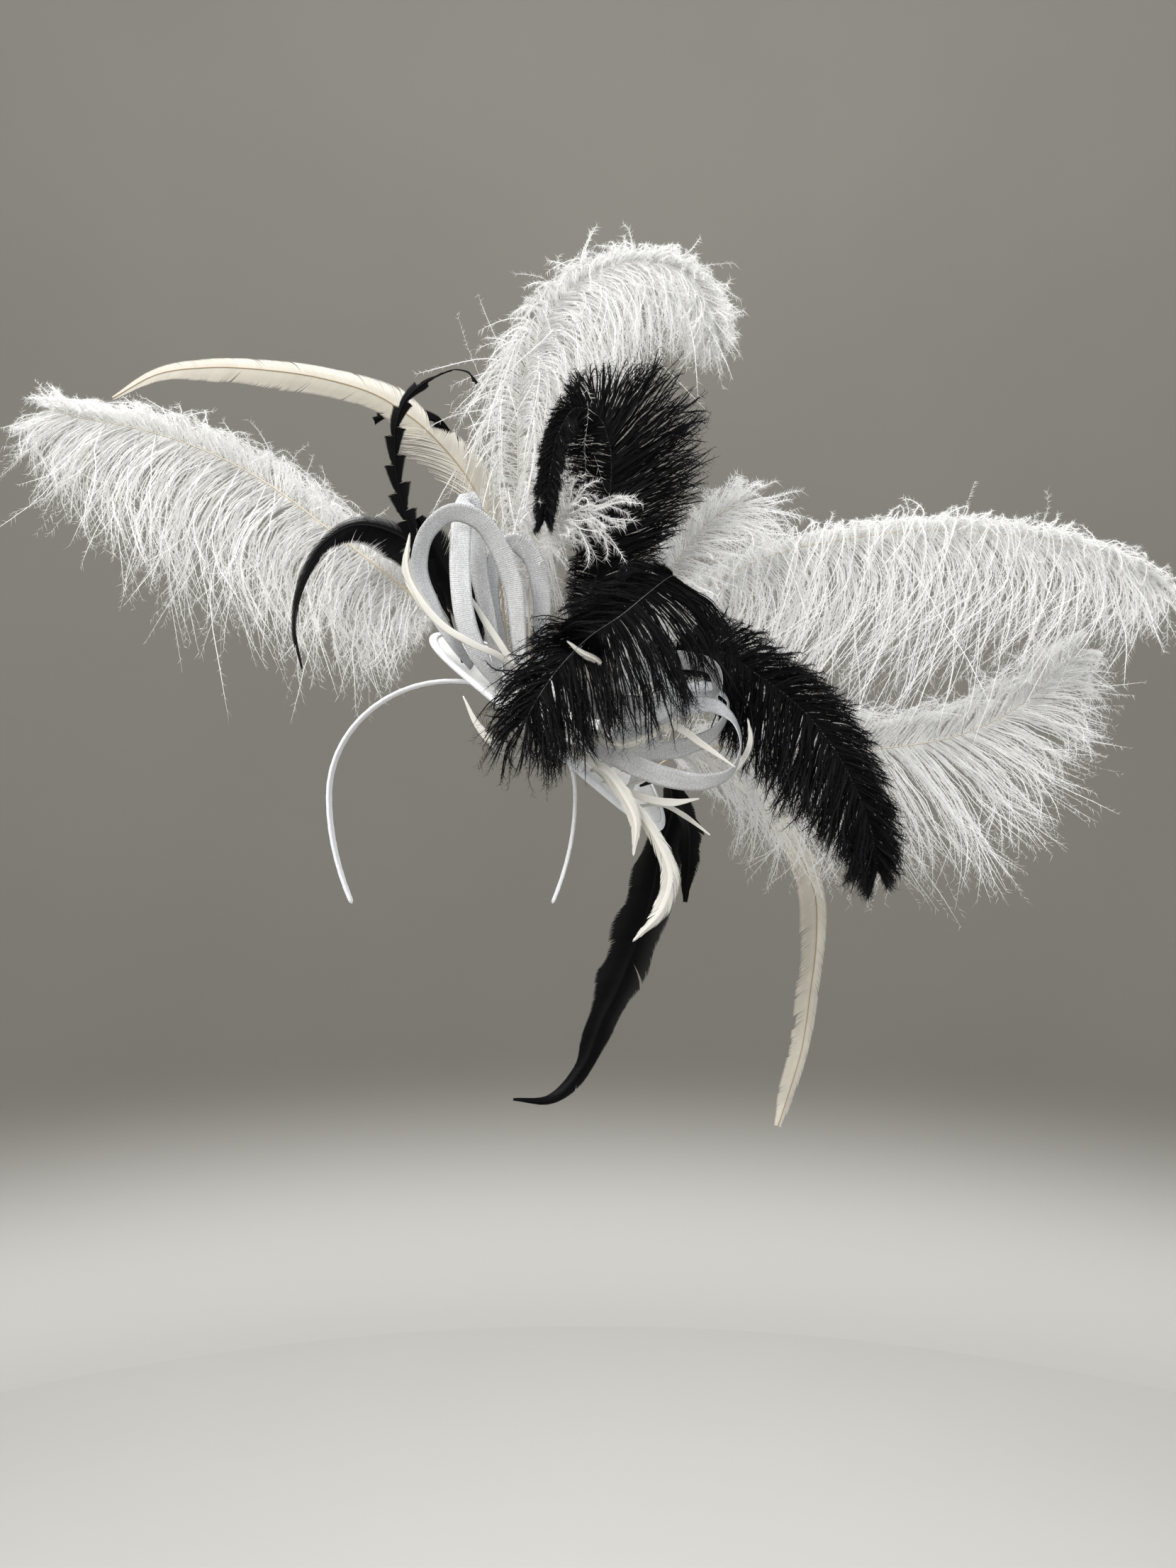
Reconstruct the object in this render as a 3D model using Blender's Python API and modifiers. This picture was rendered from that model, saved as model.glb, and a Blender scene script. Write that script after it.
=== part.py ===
"""Feather and ribbon fascinator on a narrow satin headband.

Frame: +Z up, +X to the wearer's left, the wearer faces -Y. The origin is on the inner face of the
headband at the crown. Tables are in millimetres and the model is in metres.
"""

import math

import bpy
import numpy as np

MM = 0.001
COLLECTION = "fascinator"

FIT_GAP = 0.3
FULL_FACE = 90.0
SMOOTH_ANGLE = math.radians(40.0)
BEVEL_ANGLE = math.radians(60.0)

BAND_HALF_WIDTH = 72.7
BAND_WIDEST_BELOW = 68.0
BAND_END_BELOW = 131.0
BAND_END_INSET = 13.5
BAND_DEPTH = 10.0
BAND_END_DEPTH = 6.0
BAND_THICKNESS = 2.3
BAND_EDGE_ROUND = 0.7
BAND_STATIONS = 31

BASE_CENTER = np.array([62.5, 0.0, -22.0])
BASE_SLOPE = math.radians(40.0)
BASE_TILT = math.radians(18.0)
BASE_HALF_LENGTH = 88.0
BASE_HALF_WIDTH = 57.0
BASE_BEND_RADIUS = 350.0
BASE_THICKNESS = 1.2
BASE_SIDES = 32
BASE_RINGS = 3

BINDING_WIDTH = 4.5
BINDING_THICKNESS = 3.6
BINDING_GRIP = 3.0
BINDING_SHOULDER = 0.7
BINDING_NOSE = 0.6

SEAT_GAP = 0.35

QUILL_WIDTH = 2.4
PLUME_THICKNESS = 1.2
PLUME_LOCKS = 15
LOCK_SECTIONS = 3
LOCK_TAPER = 0.7
STAGGER_PATTERN = np.array([1.0, -1.0, 0.0])
SHORTEST_LOCK = 5.0
TIP_SWEEP = 1.3
TIP_EASE = 0.75
LEAN_FADE = 4
FINE_STATIONS = 400
BARE_CELL_SHARE = 0.6

FEATHER_THICKNESS = 1.0
FEATHER_ROOT_WIDTH = 2.0
FEATHER_STATIONS = 22
NOTCH_SHARE = 0.4
TOOTH_SECTIONS = 3
TOOTH_SHOULDER = 0.5
RIBBON_THICKNESS = 1.0
RIBBON_ROOT_WIDTH = 4.0
RIBBON_STATIONS = 20
BIOT_THICKNESS = 1.0
BIOT_ROOT_WIDTH = 2.0
BIOT_STATIONS = 10

FRONT = np.array([0.0, -1.0, 0.0])
DOWN = np.array([0.0, 0.0, -1.0])

# Plumes. Each seat is the quill's place on the base, along its slope and across it.
# Shaft rows: x, y, z, and how far the barbs reach to the left and right of the shaft's travel.
# Barbs: how far they sweep ahead, stand to the front, fall at their tips, and bend back, and how
# far the first ones lean back towards the quill.
# Stagger: how far neighbouring locks stand apart at their tips, front to back.
PLUMES = {
    "plume_left_white": {
        "seat": (-72, 6),
        "shaft": (
            (-12, 8, 38, 0, 0),
            (-28, 10, 53, 62, 50),
            (-77, 20, 92, 80, 62),
            (-114, 28, 120, 92, 62),
            (-161, 38, 145, 92, 60),
            (-203, 46, 159, 76, 52),
            (-235, 51, 166, 50, 40),
            (-256, 54, 172, 27, 22),
        ),
        "left": (0.45, 0.15, 0.7, 0.75, 0),
        "right": (0.6, -0.8, 0.4, 0.15, 0),
        "stagger": 15,
        "material": "white_plume",
    },
    "plume_top_white": {
        "seat": (-28, 14),
        "shaft": (
            (44, 12, 42, 0, 0),
            (40, 8, 83, 40, 34),
            (38, 6, 133, 48, 44),
            (40, 4, 172, 44, 60),
            (52, 2, 204, 38, 66),
            (70, 0, 228, 34, 66),
            (92, 0, 240, 34, 60),
            (114, 2, 244, 34, 56),
            (136, 4, 238, 30, 50),
            (150, 6, 222, 26, 40),
            (156, 8, 204, 18, 24),
        ),
        "left": (0.5, -0.4, 0.3, 0.15, 0),
        "right": (0.8, 0.35, 0.75, 0.35, 0),
        "stagger": 12,
        "material": "white_plume",
    },
    "plume_right_white": {
        "seat": (24, 24),
        "shaft": (
            (95, 25, -8, 0, 0),
            (126, 28, 40, 30, 50),
            (161, 32, 64, 34, 72),
            (196, 36, 80, 36, 82),
            (239, 40, 89, 40, 86),
            (284, 44, 95, 40, 86),
            (329, 48, 94, 38, 80),
            (374, 52, 88, 34, 68),
            (410, 54, 77, 24, 50),
            (436, 56, 62, 14, 22),
        ),
        "left": (0.6, -0.8, 0.4, 0.15, 0),
        "right": (0.8, 0.15, 1.05, 1.1, 0),
        "stagger": 9,
        "material": "white_plume",
    },
    "plume_lower_white": {
        "seat": (60, 24),
        "shaft": (
            (128, 34, -46, 0, 0),
            (145, 42, -40, 34, 50),
            (199, 60, -40, 46, 76),
            (270, 78, -38, 56, 84),
            (326, 90, -27, 60, 76),
            (365, 98, -7, 48, 56),
            (388, 102, 14, 28, 30),
            (404, 105, 28, 12, 12),
        ),
        "left": (0.8, -0.25, 0.15, 0.15, 0),
        "right": (0.7, 0.15, 0.35, 0.2, 0),
        "stagger": 15,
        "material": "white_plume",
    },
    "tuft_center_white": {
        "seat": (-22, -6),
        "shaft": (
            (46, -3, 20, 0, 0),
            (45, -6, 52, 0, 0),
            (47, -14, 70, 26, 22),
            (57, -26, 85, 26, 24),
            (72, -33, 91, 24, 24),
            (84, -35, 90, 18, 20),
        ),
        "left": (0.7, 0.3, 0.3, 0.2, 0),
        "right": (0.9, 0.35, 0.2, 0.2, 0),
        "stagger": 6,
        "material": "white_plume",
        "locks": 7,
    },
    "tuft_right_white": {
        "seat": (14, 14),
        "shaft": (
            (88, 14, 8, 0, 0),
            (110, 14, 42, 22, 26),
            (132, 16, 72, 30, 36),
            (152, 20, 96, 30, 44),
            (172, 24, 108, 22, 36),
        ),
        "left": (0.8, 0.3, 0.2, 0.25, 0),
        "right": (0.5, 0.3, 0.35, 0.15, 0),
        "stagger": 10,
        "material": "white_plume",
        "locks": 8,
    },
    "plume_upper_black": {
        "seat": (2, -4),
        "shaft": (
            (71, -7, 12, 0, 0),
            (81, -13, 45, 18, 30),
            (89, -20, 84, 20, 62),
            (92, -24, 108, 30, 68),
            (91, -28, 130, 30, 62),
            (84, -32, 145, 18, 30),
            (73, -36, 148, 10, 11),
            (64, -40, 136, 10, 10),
            (58, -43, 110, 10, 12),
            (55, -44, 84, 8, 8),
        ),
        "left": (0.2, -0.2, 0.15, 0.1, 0),
        "right": (0.7, -0.3, 0.05, 0.05, 0),
        "stagger": 8,
        "material": "black_plume",
    },
    "plume_center_black": {
        "seat": (14, -6),
        "shaft": (
            (90, -12, 2, 0, 0),
            (108, -26, 28, 0, 0),
            (124, -44, 46, 0, 0),
            (125, -58, 51, 0, 0),
            (122, -65, 49, 54, 34),
            (110, -74, 39, 56, 42),
            (96, -80, 27, 54, 46),
            (79, -82, 15, 48, 46),
            (65, -81, 1, 42, 44),
            (54, -80, -14, 36, 38),
            (46, -80, -28, 26, 28),
        ),
        "left": (0.2, 0.1, 0.45, 0.3, 1.4),
        "right": (0.8, -0.5, 0.25, 0.2, 0),
        "stagger": 6,
        "material": "black_plume",
    },
    "plume_right_black": {
        "seat": (48, 2),
        "shaft": (
            (108, 4, -28, 0, 0),
            (124, 0, 2, 10, 0),
            (148, -6, 16, 34, 44),
            (180, -12, -1, 38, 56),
            (208, -16, -26, 36, 54),
            (228, -18, -57, 32, 42),
            (240, -18, -88, 26, 30),
            (244, -16, -110, 14, 16),
        ),
        "left": (0.8, -0.2, 0.1, 0.2, 0),
        "right": (0.5, 0.1, 0.1, 0.1, 0),
        "stagger": 6,
        "material": "black_plume",
    },
}

# Smooth feathers. Rows: x, y, z, the vane's width to the left and right of travel, and its turn in
# degrees, where 90 shows the full face to the front.
FEATHERS = {
    "feather_sickle_black": {
        "seat": (-62, -8),
        "rows": (
            (2, -13, 42, 3, 3, 90),
            (-14, -16, 69, 13, 11, 90),
            (-32, -18, 82, 12, 10, 85),
            (-53, -22, 85, 8, 8, 80),
            (-70, -26, 74, 5, 6, 75),
            (-81, -30, 52, 3, 4, 70),
            (-85, -32, 28, 1.5, 3, 65),
            (-80, -34, 3, 0.6, 0.6, 65),
        ),
        "material": "black_feather",
    },
    "feather_body_black": {
        "seat": (-56, -20),
        "rows": (
            (16, -22, 24, 5, 5, 90),
            (8, -22, 42, 10, 9, 90),
            (0, -22, 58, 14, 13, 90),
            (-8, -22, 74, 13, 13, 90),
            (-17, -21, 90, 3, 3, 90),
        ),
        "material": "black_feather",
    },
    "feather_drop_black": {
        "seat": (62, 10),
        "rows": (
            (126, 28, -58, 4, 4, 60),
            (131, 44, -74, 9, 9, 70),
            (124, 56, -103, 13, 13, 80),
            (117, 66, -139, 15.5, 15.5, 90),
            (106, 74, -171, 16.5, 16, 90),
            (98, 77, -192, 14, 14, 90),
            (88, 80, -213, 10, 10, 90),
            (76, 82, -243, 6, 6, 90),
            (56, 84, -264, 3.5, 3.5, 90),
            (31, 84, -264, 0.8, 0.8, 90),
        ),
        "material": "black_feather",
    },
    "feather_drop_black_short": {
        "seat": (72, 0),
        "rows": (
            (131, 12, -72, 3, 3, 60),
            (139, 28, -84, 6, 6, 70),
            (141, 42, -106, 7, 7, 80),
            (139, 50, -134, 1.5, 1.5, 90),
        ),
        "material": "black_feather",
    },
    "feather_long_ivory": {
        "seat": (-38, -3),
        "rows": (
            (29, -4, 50, 1.2, 1.2, 90),
            (24, -4, 74, 12, 5, 90),
            (19, -4, 96, 30, 13, 90),
            (10, -4, 115, 34, 16, 90),
            (-7, -6, 136, 22, 12, 90),
            (-14, -7, 143, 17, 2.5, 90),
            (-20, -8, 148, 12, 9, 90),
            (-27, -9, 153, 10, 11, 90),
            (-38, -10, 160, 8, 13, 90),
            (-72, -12, 171, 8.5, 11, 85),
            (-105, -12, 176, 9.5, 10, 85),
            (-140, -10, 178, 7, 8, 85),
            (-168, -8, 175, 4, 5, 85),
            (-196, -4, 162, 1, 1, 85),
        ),
        "material": "ivory_feather",
    },
    "feather_drop_ivory": {
        "seat": (44, 40),
        "rows": (
            (126, 60, -38, 2, 2, 60),
            (158, 86, -48, 4, 4, 60),
            (192, 106, -70, 7, 7, 70),
            (216, 116, -101, 9, 9, 80),
            (231, 120, -134, 9, 9, 90),
            (232, 120, -167, 8, 9, 90),
            (228, 120, -201, 7, 8, 90),
            (222, 120, -240, 6, 7, 90),
            (213, 120, -270, 5, 6, 90),
            (206, 118, -290, 2.5, 2.5, 90),
        ),
        "material": "ivory_feather",
    },
}

# Notched feathers: the same rows, with the vane cut into teeth from the row where it widens.
NOTCHED = {
    "feather_notched_a": {
        "seat": (-60, -30),
        "rows": (
            (2, -28, 30, 1, 1, 90),
            (-13, -28, 64, 6, 6, 90),
            (-22, -29, 86, 6.8, 6.8, 90),
            (-27, -30, 105, 6.8, 6.8, 90),
            (-29, -31, 124, 6, 6, 90),
            (-28, -32, 140, 5.5, 5.5, 90),
            (-22, -32, 154, 4.5, 4.5, 90),
            (-13, -32, 162, 3.5, 3.5, 90),
            (-6, -32, 166, 0.8, 0.8, 90),
            (5, -32, 170, 0.7, 0.7, 90),
            (13, -32, 168, 0.7, 0.7, 90),
            (17, -32, 162, 2, 2, 90),
        ),
        "teeth": 13,
        "material": "black_feather",
    },
    "feather_notched_b": {
        "seat": (-44, 12),
        "rows": (
            (25, 26, 50, 1, 1, 90),
            (17, 42, 104, 1, 1, 90),
            (4, 44, 145, 1, 1, 90),
            (-5, 30, 152, 2, 2, 90),
            (-12, 25, 157, 4, 4, 90),
            (-21, 24, 160, 4, 4, 90),
            (-32, 22, 161, 1, 1, 90),
            (-41, 21, 159, 2.5, 2.5, 90),
            (-49, 20, 156, 4.5, 4.5, 90),
        ),
        "teeth": 8,
        "material": "black_feather",
    },
}

# Ribbon loops from one seat to the other. Rows: x, y, z, width and turn in degrees.
LOOPS = {
    "ribbon_loop_1": {
        "seat": (-34, -36),
        "rows": (
            (20, -40, 8, 10, 80),
            (12, -43, 28, 11.5, 80),
            (9, -44, 50, 11.5, 85),
            (9, -43, 74, 11.5, 85),
            (11, -40, 92, 11.5, 85),
            (13, -34, 97, 11.5, 85),
            (15, -29, 90, 11.5, 80),
            (17, -27, 62, 11, 80),
            (24, -25, 28, 8, 75),
        ),
        "end_seat": (-38, -22),
    },
    "ribbon_loop_2": {
        "seat": (-54, -31),
        "rows": (
            (6, -38, 16, 8, 50),
            (-6, -44, 36, 11, 50),
            (-13, -49, 58, 11.5, 45),
            (-7, -53, 77, 11.5, 40),
            (6, -54, 86, 11.5, 45),
            (19, -50, 83, 11.5, 60),
            (30, -42, 69, 11.5, 70),
            (37, -34, 50, 11.5, 75),
            (40, -27, 22, 9, 75),
        ),
        "end_seat": (-22, -26),
    },
    "ribbon_loop_3": {
        "seat": (-34, -12),
        "rows": (
            (29, -16, 24, 8, 50),
            (24, -19, 50, 11, 50),
            (28, -23, 68, 11.5, 50),
            (37, -26, 75, 11.5, 60),
            (46, -24, 69, 11.5, 70),
            (52, -19, 50, 11.5, 75),
            (52, -15, 22, 9, 75),
        ),
        "end_seat": (-14, -16),
    },
    "ribbon_loop_4": {
        "seat": (24, -44),
        "rows": (
            (78, -53, -38, 8, 70),
            (90, -58, -44, 11.5, 75),
            (106, -60, -52, 11.5, 75),
            (124, -60, -58, 11.5, 70),
            (142, -58, -60, 11.5, 50),
            (156, -54, -55, 11.5, 20),
            (162, -50, -42, 11.5, 10),
            (159, -46, -27, 11.5, 20),
            (148, -43, -18, 11.5, 50),
            (130, -40, -19, 11.5, 60),
            (108, -36, -30, 9, 60),
        ),
        "end_seat": (40, -26),
    },
    "ribbon_loop_5": {
        "seat": (30, -18),
        "rows": (
            (94, -22, -42, 8, 60),
            (110, -25, -43, 11.5, 65),
            (134, -25, -40, 11.5, 60),
            (152, -25, -30, 11.5, 30),
            (158, -24, -16, 11.5, 10),
            (148, -20, -6, 11.5, 30),
            (130, -18, -11, 11.5, 60),
            (118, -15, -30, 9, 60),
        ),
        "end_seat": (58, -12),
    },
    "ribbon_loop_6": {
        "seat": (2, -26),
        "rows": (
            (66, -44, -16, 12, 70),
            (84, -54, -18, 16, 80),
            (104, -55, -21, 16, 80),
            (120, -50, -19, 14, 70),
            (128, -44, -9, 11.5, 40),
            (118, -42, -2, 11.5, 40),
            (100, -36, -4, 11.5, 50),
            (84, -26, -18, 9, 60),
        ),
        "end_seat": (12, -16),
    },
    "ribbon_loop_7": {
        "seat": (28, -4),
        "rows": (
            (94, -14, -14, 9, 60),
            (112, -26, 4, 11.5, 60),
            (132, -33, 8, 11.5, 60),
            (149, -36, 2, 11.5, 30),
            (150, -34, -10, 11.5, 20),
            (136, -31, -14, 11.5, 50),
            (114, -26, -17, 11, 60),
            (98, -15, -30, 8, 60),
        ),
        "end_seat": (38, -6),
    },
}

# Ivory quills. Rows: x, y, z, width and turn in degrees.
BIOTS = {
    "biot_1": {
        "seat": (22, -34),
        "rows": (
            (82, -46, -34, 2.5, 80),
            (88, -62, -31, 3, 80),
            (91, -69, -16, 4, 80),
            (90, -70, -3, 4.5, 80),
            (84, -72, 4, 4, 80),
            (76, -74, 8, 3.5, 80),
            (68, -76, 14, 0.8, 80),
        ),
    },
    "biot_2": {
        "seat": (33, -33),
        "rows": (
            (94, -44, -46, 2.5, 80),
            (108, -55, -38, 3.5, 80),
            (124, -63, -30, 4.5, 80),
            (140, -66, -40, 3.5, 80),
            (157, -68, -52, 0.8, 80),
        ),
    },
    "biot_3": {
        "seat": (54, -20),
        "rows": (
            (120, -28, -56, 3, 60),
            (146, -36, -60, 4, 60),
            (162, -40, -52, 5, 50),
            (169, -42, -38, 4.5, 50),
            (167, -41, -25, 0.8, 60),
        ),
    },
    "biot_4": {
        "seat": (12, -37),
        "rows": (
            (68, -46, -30, 3, 80),
            (74, -59, -28, 4, 80),
            (82, -66, -35, 5, 80),
            (95, -68, -40, 5, 80),
            (108, -68, -37, 4, 80),
            (119, -68, -33, 0.8, 80),
        ),
    },
    "biot_5": {
        "seat": (-8, -44),
        "rows": (
            (56, -53, -26, 3, 80),
            (60, -61, -32, 5, 80),
            (54, -63, -39, 7, 85),
            (44, -63, -43, 7, 85),
            (32, -62, -41, 6, 85),
            (21, -61, -31, 4, 85),
            (12, -60, -14, 0.8, 85),
        ),
    },
    "biot_6": {
        "seat": (-20, -40),
        "rows": (
            (42, -44, -8, 3, 80),
            (34, -50, 6, 3.5, 80),
            (16, -56, 15, 4, 80),
            (0, -58, 25, 4, 80),
            (-11, -60, 38, 5, 75),
            (-18, -60, 54, 5, 70),
            (-17, -58, 74, 0.8, 70),
        ),
    },
    "biot_7": {
        "seat": (-12, -34),
        "rows": (
            (40, -34, 0, 3, 80),
            (32, -34, 14, 4, 80),
            (22, -34, 29, 4, 80),
            (12, -34, 46, 0.8, 80),
        ),
    },
    "biot_8": {
        "seat": (2, -47),
        "rows": (
            (57, -54, -33, 2.5, 85),
            (64, -62, -38, 3.5, 85),
            (76, -67, -46, 4.5, 85),
            (88, -69, -54, 5, 85),
            (98, -70, -67, 7, 85),
            (104, -70, -80, 6, 85),
            (103, -70, -99, 0.8, 85),
        ),
    },
    "biot_9": {
        "seat": (34, -42),
        "rows": (
            (84, -53, -54, 2.5, 85),
            (91, -60, -61, 3, 85),
            (104, -63, -73, 4, 85),
            (116, -64, -91, 7, 85),
            (123, -64, -110, 9, 85),
            (118, -64, -128, 8, 85),
            (103, -64, -145, 1, 85),
        ),
    },
    "biot_10": {
        "seat": (43, -38),
        "rows": (
            (96, -48, -62, 2.5, 85),
            (108, -53, -68, 4, 85),
            (124, -55, -71, 4.5, 85),
            (139, -54, -69, 0.8, 85),
        ),
    },
    "biot_11": {
        "seat": (68, -18),
        "rows": (
            (122, -30, -73, 2.5, 80),
            (133, -38, -79, 3, 80),
            (146, -42, -89, 0.8, 80),
        ),
    },
}

# Materials: colour, roughness and metallic value.
MATERIALS = {
    "satin": ((0.86, 0.87, 0.9), 0.38, 0.0),
    "straw_cloth": ((0.84, 0.84, 0.82), 0.6, 0.0),
    "white_plume": ((0.88, 0.88, 0.87), 0.8, 0.0),
    "black_plume": ((0.012, 0.012, 0.014), 0.6, 0.0),
    "black_feather": ((0.01, 0.01, 0.012), 0.35, 0.0),
    "ivory_feather": ((0.74, 0.68, 0.55), 0.5, 0.0),
    "ribbon": ((0.82, 0.83, 0.85), 0.35, 0.0),
    "ivory_quill": ((0.78, 0.73, 0.62), 0.4, 0.0),
}

BASE_ALONG = np.array([math.cos(BASE_SLOPE), 0.0, -math.sin(BASE_SLOPE)])
BASE_UP_SLOPE = np.array([math.sin(BASE_SLOPE), 0.0, math.cos(BASE_SLOPE)])
BASE_ACROSS = math.cos(BASE_TILT) * -FRONT + math.sin(BASE_TILT) * BASE_UP_SLOPE
BASE_NORMAL = np.cross(BASE_ALONG, BASE_ACROSS)


def unit(vectors):
    """Each row scaled to length one."""
    return vectors / np.linalg.norm(vectors, axis=-1, keepdims=True)


def base_point(along, across, height):
    """A place on the bent base, at a height above the middle of its thickness."""
    along, across, height = np.broadcast_arrays(along, across, height)
    sag = along**2 / (2 * BASE_BEND_RADIUS)
    return (
        BASE_CENTER
        + along[..., None] * BASE_ALONG
        + across[..., None] * BASE_ACROSS
        + (height - sag)[..., None] * BASE_NORMAL
    )


def seat_point(seat, toward, width, thickness, turn):
    """Where a strip ends on the base: as high as lets its lowest corner just clear the top face."""
    along, across = float(seat[0]), float(seat[1])
    foot = base_point(along, across, BASE_THICKNESS / 2)
    run = np.array([foot, np.array(toward, dtype=float)])
    wide = width_directions(run, np.array([turn, turn], dtype=float))[0]
    flat = np.cross(unit(run[1] - run[0]), wide)
    corner = width / 2 * abs(wide @ BASE_NORMAL) + thickness / 2 * abs(flat @ BASE_NORMAL)
    return base_point(along, across, BASE_THICKNESS / 2 + SEAT_GAP + corner)


def smooth_rows(rows, count):
    """A smooth curve through the rows, read at places evenly spaced along its length."""
    knots = np.array(rows, dtype=float)
    at = np.concatenate([[0.0], np.cumsum(np.linalg.norm(np.diff(knots[:, :3], axis=0), axis=1))])
    slopes = np.gradient(knots, at, axis=0)
    fine = np.linspace(0.0, at[-1], 20 * len(knots))
    i = np.clip(np.searchsorted(at, fine, side="right") - 1, 0, len(at) - 2)
    span = (at[i + 1] - at[i])[:, None]
    t = (fine[:, None] - at[i][:, None]) / span
    curve = (
        (1 + 2 * t) * (1 - t) ** 2 * knots[i]
        + t * (1 - t) ** 2 * span * slopes[i]
        + t**2 * (3 - 2 * t) * knots[i + 1]
        + t**2 * (t - 1) * span * slopes[i + 1]
    )
    curve[:, 3:] = np.stack([np.interp(fine, at, column) for column in knots[:, 3:].T], axis=1)
    run = np.concatenate([[0.0], np.cumsum(np.linalg.norm(np.diff(curve[:, :3], axis=0), axis=1))])
    even = np.linspace(0.0, run[-1], count)
    return np.stack([np.interp(even, run, column) for column in curve.T], axis=1)


def add_piece(name, material, vertices, faces, thickness, offset=0.0):
    """An open surface in millimetres, thickened into one closed solid."""
    mesh = bpy.data.meshes.new(name)
    mesh.from_pydata((np.asarray(vertices) * MM).tolist(), [], [list(face) for face in faces])
    mesh.materials.append(material)
    mesh.shade_smooth()
    mesh.set_sharp_from_angle(angle=SMOOTH_ANGLE)
    piece = bpy.data.objects.new(name, mesh)
    bpy.data.collections[COLLECTION].objects.link(piece)
    if thickness:
        wall = piece.modifiers.new("Wall", "SOLIDIFY")
        wall.thickness = thickness * MM
        wall.offset = offset
    return piece


def strip_faces(count, first=0, columns=2):
    """Quads between neighbouring stations of a strip with the given vertices a station."""
    faces = []
    for i in range(count - 1):
        a = first + i * columns
        for j in range(columns - 1):
            faces.append((a + j, a + j + 1, a + columns + j + 1, a + columns + j))
    return faces


def width_directions(path, turn):
    """Across a strip: along the view at 0 degrees, and across the view at 90 degrees."""
    tangent = unit(np.gradient(path, axis=0))
    flat = unit(np.cross(FRONT, tangent))
    deep = unit(np.cross(tangent, flat))
    angle = np.radians(turn)[:, None]
    return np.sin(angle) * flat + np.cos(angle) * deep


def make_headband(material):
    """A strip over the crown: half an ellipse, then two ends that draw in."""
    top = (BAND_STATIONS - 1) // 3
    angle = np.linspace(0.0, math.pi / 2, top + 1)
    x = list(BAND_HALF_WIDTH * np.sin(angle))
    z = list(BAND_WIDEST_BELOW * (np.cos(angle) - 1))
    share = np.linspace(0.0, 1.0, top // 2 + 1)[1:]
    x += list(BAND_HALF_WIDTH - BAND_END_INSET * share**2)
    z += list(-BAND_WIDEST_BELOW - (BAND_END_BELOW - BAND_WIDEST_BELOW) * share)
    half = np.stack([x, np.zeros(len(x)), z], axis=1)
    path = np.concatenate([half[:0:-1] * (-1, 1, 1), half])
    depth = np.full(len(path), BAND_DEPTH)
    depth[[0, -1]] = BAND_END_DEPTH
    side = -FRONT * depth[:, None] / 2
    vertices = np.stack([path - side, path + side], axis=1).reshape(-1, 3)
    band = add_piece("headband", material, vertices, strip_faces(len(path)), BAND_THICKNESS, -1.0)
    round_edges = band.modifiers.new("Edges", "BEVEL")
    round_edges.width = BAND_EDGE_ROUND * MM
    round_edges.segments = 1
    round_edges.limit_method = "ANGLE"
    round_edges.angle_limit = BEVEL_ANGLE
    return band


def make_base(material):
    """An oval sheet bent along its length, built from rings round its centre."""
    angle = np.linspace(0.0, 2 * math.pi, BASE_SIDES, endpoint=False)
    grip_room = FIT_GAP + BINDING_WIDTH - BINDING_GRIP
    vertices = [base_point(0.0, 0.0, 0.0)[None, :]]
    for ring in range(1, BASE_RINGS + 1):
        share = ring / BASE_RINGS
        along = (BASE_HALF_LENGTH - grip_room) * share * np.cos(angle)
        across = (BASE_HALF_WIDTH - grip_room) * share * np.sin(angle)
        vertices.append(base_point(along, across, 0.0))
    faces = []
    for i in range(BASE_SIDES):
        j = (i + 1) % BASE_SIDES
        faces.append((0, 1 + i, 1 + j))
        for ring in range(BASE_RINGS - 1):
            a = 1 + ring * BASE_SIDES
            b = a + BASE_SIDES
            faces.append((a + i, b + i, b + j, a + j))
    return add_piece("base_disc", material, np.concatenate(vertices), faces, BASE_THICKNESS)


def make_binding(material):
    """A folded edge round the base, open inwards where it grips the straw cloth."""
    half = BINDING_THICKNESS / 2
    shoulder = half * BINDING_SHOULDER
    nose = half * BINDING_NOSE
    slot = BASE_THICKNESS / 2 + FIT_GAP
    inner = BINDING_WIDTH
    bottom = BINDING_WIDTH - BINDING_GRIP
    # inset from the rim, height
    profile = (
        (inner, slot),
        (inner, shoulder),
        (inner / 2, half),
        (0.0, nose),
        (0.0, -nose),
        (inner / 2, -half),
        (inner, -shoulder),
        (inner, -slot),
        (bottom, -slot),
        (bottom, slot),
    )
    angle = np.linspace(0.0, 2 * math.pi, BASE_SIDES, endpoint=False)
    rows = []
    for inset, height in profile:
        along = (BASE_HALF_LENGTH - inset) * np.cos(angle)
        across = (BASE_HALF_WIDTH - inset) * np.sin(angle)
        rows.append(base_point(along, across, height))
    vertices = np.stack(rows, axis=1).reshape(-1, 3)
    n = len(profile)
    faces = []
    for i in range(BASE_SIDES):
        j = (i + 1) % BASE_SIDES
        for k in range(n):
            m = (k + 1) % n
            faces.append((i * n + k, i * n + m, j * n + m, j * n + k))
    return add_piece("base_binding", material, vertices, faces, 0.0)


def make_strip(name, material, rows, thickness, stations):
    """A flat strip along its rows: x, y, z, width to the left, width to the right, turn."""
    line = smooth_rows(rows, stations)
    path = line[:, :3]
    across = width_directions(path, line[:, 5])
    left = path + across * line[:, 3:4]
    right = path - across * line[:, 4:5]
    vertices = np.stack([left, right], axis=1).reshape(-1, 3)
    return add_piece(name, material, vertices, strip_faces(stations), thickness)


def feather_rows(spec):
    """The rows of a feather, with the foot of its quill added."""
    first = spec["rows"][0]
    turn = first[5]
    foot = seat_point(spec["seat"], first[:3], FEATHER_ROOT_WIDTH, FEATHER_THICKNESS, turn)
    return [(*foot, FEATHER_ROOT_WIDTH / 2, FEATHER_ROOT_WIDTH / 2, turn), *spec["rows"]]


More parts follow.
